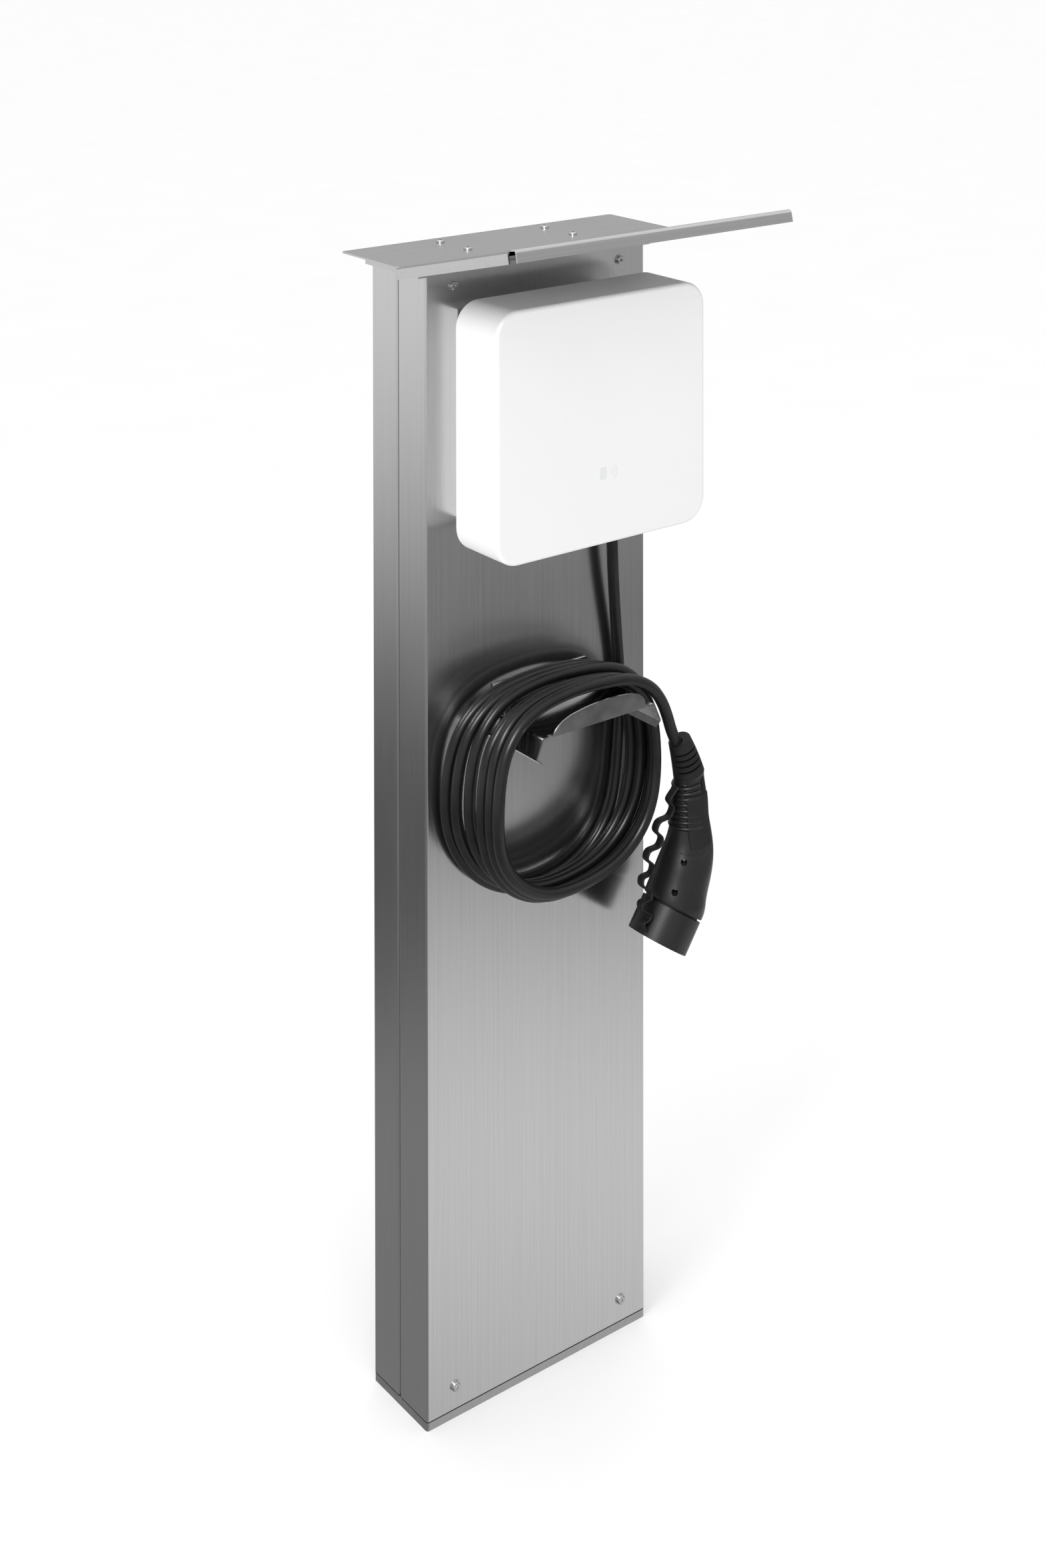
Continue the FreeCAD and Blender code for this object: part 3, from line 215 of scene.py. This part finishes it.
floor_paint, shade, shader = finish("floor_paint", (0.95, 0.95, 0.95), 0.9)
mottle = stretched(shade, (3, 3, 3))
join(shade, tinted(shade, mottle, (0.94, 0.94, 0.94), (0.97, 0.97, 0.97)), shader, "Base Color")
floor_mesh.materials.append(floor_paint)


# ---- Base and inner frame ------------------------------------------------------------------------
# A steel plate bolted to the ground, with a rubber gasket under the skin's edge, whose black is partly
# painted shade for the thin shadow line there, and a welded frame of square tube with cross bars and foot
# angles that carries the whole post. Plain mill-finished steel.
def bumped(shade, shader, height, depth):
    """Raises the surface by height times depth, in metres."""
    join(shade, shade.node("Bump", {"Height": height, "Distance": depth, "Strength": 1.0}), shader,
         "Normal")


def dress(material, *names):
    """Gives CAD nodes that material in place of the one that they came with."""
    for name in names:
        mesh = nodes[name].data
        mesh.materials.clear()
        mesh.materials.append(material)


mill_steel, shade, shader = finish("mill_steel", (0.55, 0.55, 0.56), 0.36, metallic=1.0)
rolling = stretched(shade, (60, 60, 60), detail=6)
streak = stretched(shade, (700, 700, 8))
join(shade, tinted(shade, rolling * 0.6 + streak * 0.4, (0.40, 0.40, 0.41), (0.66, 0.66, 0.67)), shader,
     "Base Color")
join(shade, 0.26 + rolling * 0.2, shader, "Roughness")
bumped(shade, shader, streak, 0.00004)
dress(mill_steel, "base_plate", "frame_rails", "cross_bars", "foot_angles", "mounting_plate",
      "plate_spacers", "terminal_rail", "earth_stud", "wallbox_bracket", "device_rail")


def grained(name, colour, roughness, scale, dark, light, rough_by=None, depth=None, detail=2.0,
            metallic=0.0, specular=0.5):
    """A material with one noise of that scale, which tints it between dark and light, makes it rough
    by low + noise * spread, where those are given, and raises it by depth times the noise."""
    made, shade, shader = finish(name, colour, roughness, metallic=metallic, specular=specular)
    grain = stretched(shade, scale, detail=detail)
    join(shade, tinted(shade, grain, dark, light), shader, "Base Color")
    if rough_by:
        low, spread = rough_by
        join(shade, low + grain * spread, shader, "Roughness")
    if depth:
        bumped(shade, shader, grain, depth)
    return made


# black rubber for the gaskets, the grommet and the seam seals; on the base gasket and in the side seams
# its black is partly painted shade, for the thin shadow lines there
seal_rubber = grained("seal_rubber", (0.022, 0.022, 0.022), 0.75, (900, 900, 900),
                      (0.014, 0.014, 0.014), (0.034, 0.034, 0.035), depth=0.0002)
dress(seal_rubber, "base_gasket", "seam_seals", "housing_gasket", "feed_grommet")


# ---- Column skin ---------------------------------------------------------------------------------
# A front cover and a rear shell folded from stainless sheet, brushed up and down, which meet in an
# open seam on each side. Fine hair lines, longer soft streaks, and faint wipe marks across the grain.
def brushed(name, low, high, grain, soft, rough):
    """Brushed stainless: hair lines of one millimetre and under, drawn out along the grain, over longer
    streaks and cloudy wipe marks, which change its tone, its gloss and, very slightly, its height."""
    made, shade, shader = finish(name, low, rough, metallic=1.0)
    hair = stretched(shade, grain, detail=3, rough=0.65)
    streaks = stretched(shade, soft, detail=2)
    clouds = stretched(shade, (5, 5, 3), detail=4)
    mixed = hair * 0.5 + streaks * 0.3 + clouds * 0.2
    join(shade, tinted(shade, mixed.between(0.32, 0.68), low, high), shader, "Base Color")
    join(shade, rough - 0.05 + hair * 0.06 + clouds * 0.05, shader, "Roughness")
    bumped(shade, shader, hair, 0.000012)
    return made


upright_grain = brushed("upright_grain", (0.60, 0.60, 0.602), (0.68, 0.68, 0.682), (1900, 1900, 9),
                        (500, 500, 2.2), 0.2)
dress(upright_grain, "front_cover", "rear_shell")


# ---- Screws --------------------------------------------------------------------------------------
# Turned stainless screws with a low rounded head and a six-sided socket, each on a flat washer.
turned_steel = grained("turned_steel", (0.6, 0.6, 0.61), 0.22, (1500, 1500, 1500),
                       (0.48, 0.48, 0.49), (0.74, 0.74, 0.75), rough_by=(0.14, 0.2), depth=0.00002,
                       detail=3, metallic=1.0)
dress(turned_steel, "foot_bolts", "cover_screw_washers", "cover_screws", "roof_screws", "hook_screws",
      "wallbox_screws", "cover_studs", "plug_screws", "roof_spacers", "board_standoffs")


# ---- Roof ----------------------------------------------------------------------------------------
# A ledge on top of the column and, a screw's length above it, a flat roof with a long visor folded up
# towards the front, of the same stainless sheet with its grain across the column.
cross_grain = brushed("cross_grain", (0.57, 0.57, 0.572), (0.67, 0.67, 0.672), (9, 1900, 1900),
                      (2.2, 500, 500), 0.22)
dress(cross_grain, "top_ledge", "roof_visor")


# ---- Wallbox -------------------------------------------------------------------------------------
# A moulded housing on a bracket and a deep cover tray over it, of satin white plastic with a very fine
# moulded grain. A light guide and a card reader sit behind it, marked by a plain card reader symbol.
cover_white, shade, shader = finish("cover_white", (0.77, 0.77, 0.77), 0.38)
moulding = stretched(shade, (1600, 1600, 1600), detail=2)
flow = stretched(shade, (4, 4, 4), detail=3)
join(shade, 0.33 + moulding * 0.08 + flow * 0.06, shader, "Roughness")
# the reader's mark, printed very pale: a small card and three arcs beside it, in front of the reader
reader_x, reader_z = 0.006, 1.190
cover_front_y = -0.2015                  # just behind the cover's front, where the mark begins
cover_front_skin = 0.001
mark_line = 0.0011                       # half a printed line, with its soft edge
arc_radii = (0.005, 0.009, 0.013)
card_left = 0.008                        # how far left of the arcs the card's middle is
card_half_wide, card_half_high = 0.0050, 0.0075
print_edge, fan_edge = 0.0005, 0.001     # how softly the card and the fan of arcs end
mark_strength = 0.5
here = shade.node("TexCoord", output=3)
mark_x = shade.node("SeparateXYZ", {0: here}, output=0) - reader_x
mark_y = shade.node("SeparateXYZ", {0: here}, output=1)
mark_z = shade.node("SeparateXYZ", {0: here}, output=2) - reader_z
ray = shade.maths("SQRT", mark_x * mark_x + mark_z * mark_z)
arcs = 0.0
for radius in arc_radii:
    arcs = arcs + (1 - shade.maths("ABSOLUTE", ray - radius).between(mark_line * 0.5, mark_line))
opening = (mark_x - shade.maths("ABSOLUTE", mark_z)).between(0.0, fan_edge)
card_x = shade.maths("ABSOLUTE", mark_x + card_left)
card_z = shade.maths("ABSOLUTE", mark_z)
card = ((1 - card_x.between(card_half_wide, card_half_wide + print_edge))
        * (1 - card_z.between(card_half_high, card_half_high + print_edge)))
marked = (arcs * opening + card) * (1 - mark_y.between(cover_front_y, cover_front_y + cover_front_skin))
plastic = tinted(shade, flow, (0.75, 0.75, 0.75), (0.79, 0.79, 0.79))
join(shade, tinted(shade, marked * mark_strength, plastic, (0.60, 0.61, 0.62)), shader, "Base Color")
bumped(shade, shader, moulding, 0.000025)
dress(cover_white, "wallbox_cover")

housing_white = grained("housing_white", (0.84, 0.84, 0.84), 0.5, (1200, 1200, 1200),
                        (0.80, 0.80, 0.80), (0.88, 0.88, 0.88), rough_by=(0.42, 0.16), depth=0.00004)
dress(housing_white, "wallbox_housing")


# ---- Devices in the wallbox ----------------------------------------------------------------------
# Behind the cover: a residual current device with its toggle and test button, a contactor, terminals,
# the controller board on standoffs, and the reader board, as any such box has them.
device_grey = grained("device_grey", (0.72, 0.73, 0.74), 0.5, (1400, 1400, 1400),
                      (0.66, 0.67, 0.68), (0.78, 0.79, 0.80), depth=0.00004)
dress(device_grey, "rcd_body", "contactor", "supply_terminals", "rcd_test_button")

moulded_black = grained("moulded_black", (0.02, 0.02, 0.02), 0.45, (1500, 1500, 1500),
                        (0.013, 0.013, 0.013), (0.03, 0.03, 0.031), rough_by=(0.38, 0.16),
                        depth=0.00005)
dress(moulded_black, "gland_body", "gland_nut", "rcd_toggle")

board_green, shade, shader = finish("board_green", (0.03, 0.16, 0.08), 0.35, coat=0.3)
tracks = shade.node("TexVoronoi", {"Vector": shade.node("TexCoord", output=3), "Scale": 180.0},
                    distance="CHEBYCHEV")
join(shade, tinted(shade, tracks.between(0.2, 0.6), (0.02, 0.12, 0.055), (0.04, 0.21, 0.10)), shader,
     "Base Color")
bumped(shade, shader, tracks, 0.0001)
dress(board_green, "controller_board", "rfid_board")

guide_clear = grained("guide_clear", (0.8, 0.85, 0.85), 0.2, (700, 700, 700),
                      (0.74, 0.79, 0.80), (0.86, 0.90, 0.90), rough_by=(0.12, 0.2))
dress(guide_clear, "status_light_guide")


# ---- Hook ----------------------------------------------------------------------------------------
# A broad shelf folded from polished stainless sheet, with a turned-up lip in front and legs at both
# ends, screwed to the column. Nearly a mirror, with the faintest haze of polishing.
polished_steel = grained("polished_steel", (0.72, 0.72, 0.72), 0.12, (30, 400, 30),
                         (0.62, 0.62, 0.625), (0.80, 0.80, 0.80), rough_by=(0.07, 0.12), depth=0.00003,
                         detail=3, metallic=1.0)
dress(polished_steel, "cable_hook")


# ---- Charging cable ------------------------------------------------------------------------------
# One length of rubber-sheathed cable: out of the gland, down behind the coil, six loose turns over the
# hook that fan out where nothing ties them, then over the top of them and down into the plug.
cable_diameter = 0.015                   # metres, and the marks and points below are in mm
# down from the gland, behind the turns
cable_down = ((99.5, -85, 1097), (100, -84.6, 1062), (103.5, -82, 1016), (109, -78.5, 970),
              (115, -75, 924), (120, -73, 884), (122.5, -72.5, 846), (122, -72.5, 812))
# each turn: how far right, its lowest, how far left and its highest, each with its depth y
turn_marks = (((121, -73), (636, -74), (-151, -74), (915, -85)),
              ((127, -92), (645, -90), (-147, -91), (916, -99)),
              ((135, -103), (648, -104), (-139, -109), (917, -112)),
              ((146, -113), (641, -117), (-137, -134), (907, -126)),
              ((141, -125), (647, -130), (-135, -150), (912, -138)),
              ((132, -138), (656, -145), (-136, -168), (912, -156)),
              ((133, -148),))
cable_to_plug = ((62, -157, 908), (90, -157, 897.5), (114, -154.5, 881), (131, -150.5, 859),
                 (143, -146, 836), (152, -143, 813), (163, -142.5, 791), (173.6, -142.5, 769),
                 (181.9, -142.5, 746.5))
turn_middle, turn_waist = -8.0, 778.0
steps_a_quarter = 4
left_out_first, left_out_last = 1, 3     # points where the ends of the coil run into its leads
# how square each quarter is: 2 is an ellipse and more is squarer, as the shelf squares the top
square_low_right, square_low_left, square_high_left, square_high_right = 2.35, 1.95, 2.72, 2.9


def quarter(start, end, power, backwards):
    """A quarter of a turn between its two marks: a superellipse in x and z, |x|^p + |z|^p = 1, that
    starts at the side mark, or backwards from the top or bottom one, while y runs evenly."""
    share = np.arange(steps_a_quarter) / steps_a_quarter
    along, across = np.cos(share * math.pi / 2), np.sin(share * math.pi / 2)
    if backwards:
        along, across = across, along
    side, level_mark = (end, start) if backwards else (start, end)
    x = turn_middle + (side[0] - turn_middle) * along ** (2 / power)
    z = turn_waist + (level_mark[0] - turn_waist) * across ** (2 / power)
    return np.stack((x, start[1] + (end[1] - start[1]) * share, z), axis=1)


turns = []
for marks, following in zip(turn_marks, turn_marks[1:]):
    right_mark, low_mark, left_mark, high_mark = marks
    turns += [quarter(right_mark, low_mark, square_low_right, False),
              quarter(low_mark, left_mark, square_low_left, True),
              quarter(left_mark, high_mark, square_high_left, False),
              quarter(high_mark, following[0], square_high_right, True)]
coil_points = np.concatenate(turns)[left_out_first:-left_out_last]
cable_route = np.concatenate((cable_down, coil_points, cable_to_plug)) / 1000

cable_curve = bpy.data.curves.new("charging_cable", "CURVE")
cable_curve.dimensions = "3D"
cable_curve.bevel_depth = 1              # times each point's radius
cable_curve.bevel_resolution = 5
cable_curve.resolution_u = 6
cable_curve.use_fill_caps = True
line = cable_curve.splines.new("NURBS")
line.points.add(len(cable_route) - 1)
line.points.foreach_set("co", np.c_[cable_route, np.ones(len(cable_route))].ravel())
line.points.foreach_set("radius", np.full(len(cable_route), cable_diameter / 2))
line.order_u = 3
line.use_endpoint_u = True
line.use_smooth = True
cable = bpy.data.objects.new("charging_cable", cable_curve)
scene.collection.objects.link(cable)
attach(cable, "post")
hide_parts("cable_drop", "cable_coil", "cable_lead")

cable_sheath, shade, shader = finish("cable_sheath", (0.008, 0.008, 0.008), 0.3, specular=0.42)
talc = stretched(shade, (45, 45, 45), detail=4)
skin_grain = stretched(shade, (1400, 1400, 1400), detail=2)
join(shade, tinted(shade, talc, (0.004, 0.004, 0.004), (0.013, 0.013, 0.013)), shader, "Base Color")
join(shade, 0.24 + talc * 0.12 + skin_grain * 0.04, shader, "Roughness")
bumped(shade, shader, skin_grain, 0.00004)
cable_curve.materials.append(cable_sheath)


# ---- Plug ----------------------------------------------------------------------------------------
# A vehicle plug moulded in two black halves held by screws, with a soft ribbed grip, a bend relief with
# slots round the cable, and a round nose with contacts behind a push-on dust cap.
plug_black, shade, shader = finish("plug_black", (0.01, 0.01, 0.01), 0.36, specular=0.5)
spark = stretched(shade, (1800, 1800, 1800), detail=2)
handling = stretched(shade, (35, 35, 35), detail=3)
join(shade, tinted(shade, handling, (0.006, 0.006, 0.006), (0.015, 0.015, 0.015)), shader, "Base Color")
join(shade, 0.27 + spark * 0.10 + handling * 0.06, shader, "Roughness")
bumped(shade, shader, spark, 0.00006)
dress(plug_black, "plug_shell_front", "plug_shell_rear", "plug_nose", "dust_cap")

plug_soft = grained("plug_soft", (0.009, 0.009, 0.009), 0.6, (60, 60, 60),
                    (0.005, 0.005, 0.005), (0.014, 0.014, 0.014), rough_by=(0.48, 0.2), depth=0.00005,
                    detail=4, specular=0.35)
dress(plug_soft, "plug_grip", "plug_bend_relief", "plug_seal_ring", "cable_clamp")

turned_brass = grained("turned_brass", (0.7, 0.55, 0.25), 0.25, (900, 900, 900),
                       (0.60, 0.46, 0.20), (0.80, 0.64, 0.32), rough_by=(0.18, 0.16), metallic=1.0)
dress(turned_brass, "plug_contacts")


# ---- Grip ribs -----------------------------------------------------------------------------------
# Eight low ribs moulded across the grip's inner side, which run out at both ends, and a raised rim
# around the grip panel from the relief down to the collar, on the front and on the rear half.
# the handle from its top down: height, middle, lean in degrees, half its width and half its depth
handle_stations = ((752, 181.2, -12, 20.5, 19), (722, 182.2, -2, 22.8, 21), (697, 182.7, 0, 25, 22.5),
                   (672, 182.6, 3, 29.5, 26), (650, 179.8, 13, 34, 31), (630, 173.6, 24, 36.5, 34.5),
                   (606, 164, 31, 38.5, 37.5), (585, 154.6, 34.7, 39.5, 39.5))
handle_oval = 0.9
handle_y = -142.5                        # the plug hangs in this plane
bead_sides = 8
bead_run_out, bead_end = 0.06, 0.02      # share of its length, and how thin its very end is
bead_twist = (0.35, 0.2, 1.0)            # a direction that no bead runs in


def on_handle(height, turn, proud):
    """The handle's skin at that height and turn round it: an oval of the half sizes found between the
    stations, (w cos^p, t sin^p), leaning with the handle, and proud of it by so much, all in mm."""
    z, x, lean, wide, thick = (np.array(row, dtype=float)[::-1] for row in zip(*handle_stations))
    x, lean = np.interp(height, z, x), np.radians(np.interp(height, z, lean))
    wide, thick = np.interp(height, z, wide) + proud, np.interp(height, z, thick) + proud
    c, s = np.cos(turn), np.sin(turn)
    out = np.sign(c) * np.abs(c) ** handle_oval * wide
    return np.stack((x + np.cos(lean) * out, handle_y + np.sign(s) * np.abs(s) ** handle_oval * thick,
                     height - np.sin(lean) * out), axis=-1)


def bead(middle, radius):
    """A round bead along a line (steps, 3): rings about the line, r cos and r sin across it, where r
    runs out towards both ends as a square root."""
    share = np.linspace(0, 1, len(middle))
    swell = np.sqrt(np.clip(np.minimum(share, 1 - share) / bead_run_out, bead_end, 1))
    ahead_way = np.gradient(middle, axis=0)
    ahead_way /= np.linalg.norm(ahead_way, axis=1)[:, None]
    side_way = np.cross(ahead_way, bead_twist)
    side_way /= np.linalg.norm(side_way, axis=1)[:, None]
    over_way = np.cross(ahead_way, side_way)
    turn = np.arange(bead_sides) / bead_sides * 2 * math.pi
    ring = (side_way[:, None] * np.cos(turn)[None, :, None]
            + over_way[:, None] * np.sin(turn)[None, :, None])
    return (middle[:, None] + ring * (radius * swell)[:, None, None]) / 1000


def skin_mesh(name, grid):
    """A mesh over a grid of points (along, round, 3): a quad between each four neighbours, closed
    round, and a flat end face over the first and last ring."""
    along, round_count = grid.shape[:2]
    a, b = np.meshgrid(np.arange(along - 1), np.arange(round_count), indexing="ij")
    here, beside = a * round_count + b, a * round_count + (b + 1) % round_count
    quads = np.stack((here, beside, beside + round_count, here + round_count), axis=-1)
    ring = np.arange(round_count)
    ends = [ring[::-1].tolist(), (ring + (along - 1) * round_count).tolist()]
    mesh = bpy.data.meshes.new(name)
    mesh.from_pydata(grid.reshape(-1, 3).tolist(), [], quads.reshape(-1, 4).tolist() + ends)
    mesh.shade_smooth()
    made = bpy.data.objects.new(name, mesh)
    scene.collection.objects.link(made)
    return made


rib_pitch, rib_top, rib_count, rib_radius = 7.6, 740.0, 8, 2.5
rib_sunk, rib_steps = 0.6, 60
rib_begins, rib_ends = 78, 282           # degrees round the handle, from its right
rib_turn = np.radians(np.linspace(rib_begins, rib_ends, rib_steps))
rib_lines = [on_handle(np.full(rib_steps, rib_top - rib_pitch * k), rib_turn, -rib_sunk)
             for k in range(rib_count)]

# the rim: down each half's back edge, then in below the ribs, and a second line outside the first
rim_radius, rim_top, rim_drop, rim_steps = 1.3, 746, 92, 90
rim_away, rim_inwards, rim_turns_in, rim_bend = 110, 80, 0.55, 1.1
rim_sunk, outer_sunk = 0.6, 0.7
outer_above, outer_falls, outer_gap, outer_spread = 1.5, 8, 9, 6
rim_share = np.linspace(0, 1, rim_steps)
rim_height = rim_top - rim_drop * np.sin(rim_share * math.pi / 2) ** rim_bend
swing_in = rim_inwards * np.clip((rim_share - rim_turns_in) / (1 - rim_turns_in), 0, 1) ** 2
rim_lines = []
for half in (1, -1):
    rim_turn = 180 + half * (rim_away - swing_in)
    rim_lines.append(on_handle(rim_height, np.radians(rim_turn), -rim_sunk))
    rim_lines.append(on_handle(rim_height + outer_above - outer_falls * rim_share,
                               np.radians(rim_turn + half * (outer_gap + outer_spread * rim_share)),
                               -outer_sunk))

grip_parts = []
for name, lines, radius in (("rib", rib_lines, rib_radius), ("rim", rim_lines, rim_radius)):
    for count, line_of_bead in enumerate(lines):
        grip_parts.append(skin_mesh(f"grip_{name}_{count + 1}", bead(line_of_bead, radius)))
grip_beads = grip_parts[0]
with bpy.context.temp_override(active_object=grip_beads, selected_editable_objects=grip_parts):
    bpy.ops.object.join()
grip_beads.name = grip_beads.data.name = "plug_grip_ribs"
grip_beads.data.materials.append(plug_black)
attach(grip_beads, "post")


# ---- Cap strap -----------------------------------------------------------------------------------
# A thin rubber ribbon moulded in waves, which hangs the dust cap on the plug's upper end. Its waves
# run out at both ends, and its lower end lies on the cap's side, towards the front.
nose_way = np.array((-0.56928, 0.0, -0.822144))
cap_side = np.array((-0.822144, 0.0, 0.56928))
cap_end = np.array((128.4, handle_y, 547.2))
strap_top = np.array((160.5, handle_y, 739.0))
strap_width, strap_thickness = 12.5, 3.4
strap_waves = 5.5
wave_reach = 8.0
wave_grows, wave_fades = 9, 7            # the reach is full after a ninth, and until the last seventh
lobe_roundness = 1.7                     # fuller lobes than a sine's
lap_begins, lap_over = 0.45, 0.4         # shares of the length over which it comes forwards
foot_above_end = 6                       # up the cap from its closed end
lap_depth = 12.0                         # how far in front of the cap's axis its foot lies
lap_reach = 41.0                         # strap's middle from the cap's axis there
strap_foot = cap_end - nose_way * foot_above_end + cap_side * lap_reach + np.array((0, -lap_depth, 0))
strap_bow = np.array((-17.0, 0.0, -11.0))  # the middle hangs out to the left


def strap_line(share):
    """The ribbon's middle line: from top to foot with a bow of 4t(1-t), and across it tanh of a sine,
    whose reach rises from its top and falls again at its foot. y moves forwards in between."""
    share = share[:, None]
    way = strap_foot - strap_top
    way = way / np.linalg.norm(way)
    across = np.cross(way, (0, 1, 0))
    across = across / np.linalg.norm(across)
    swing = np.clip(share * wave_grows, 0, 1) * np.clip((1 - share) * wave_fades, 0, 1) * wave_reach
    straight = strap_top + (strap_foot - strap_top) * share
    lap = np.clip((share[:, 0] - lap_begins) / lap_over, 0, 1)
    straight[:, 1] = handle_y - lap_depth * (lap ** 2 * (3 - 2 * lap))
    wave = np.sin(2 * math.pi * strap_waves * share)
    lobes = np.tanh(lobe_roundness * wave) / math.tanh(lobe_roundness)
    return straight + strap_bow * 4 * share * (1 - share) - across * swing * lobes


def rounded_outline(half_wide, half_thick, power, count):
    """A rounded oblong: a superellipse |u/a|^p + |v/b|^p = 1 as count points."""
    turn = np.arange(count) / count * 2 * math.pi
    c, s = np.cos(turn), np.sin(turn)
    return np.stack((half_wide * np.sign(c) * np.abs(c) ** (2 / power),
                     half_thick * np.sign(s) * np.abs(s) ** (2 / power)), axis=1)


strap_steps, strap_sides = 264, 20
edge_squareness = 3.2
middle = strap_line(np.linspace(0, 1, strap_steps)) / 1000
forward = np.gradient(middle, axis=0)
forward /= np.linalg.norm(forward, axis=1)[:, None]
across_strap = np.cross(forward, np.cross((0, 1, 0), forward))
across_strap /= np.linalg.norm(across_strap, axis=1)[:, None]
out_of_strap = np.cross(forward, across_strap)
outline = rounded_outline(strap_width / 2000, strap_thickness / 2000, edge_squareness, strap_sides)
grid = (middle[:, None] + across_strap[:, None] * outline[None, :, :1]
        + out_of_strap[:, None] * outline[None, :, 1:])
strap = skin_mesh("dust_cap_strap", grid)
strap.data.materials.append(plug_soft)
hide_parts("cap_strap")
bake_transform(strap)


bpy.context.view_layer.update()
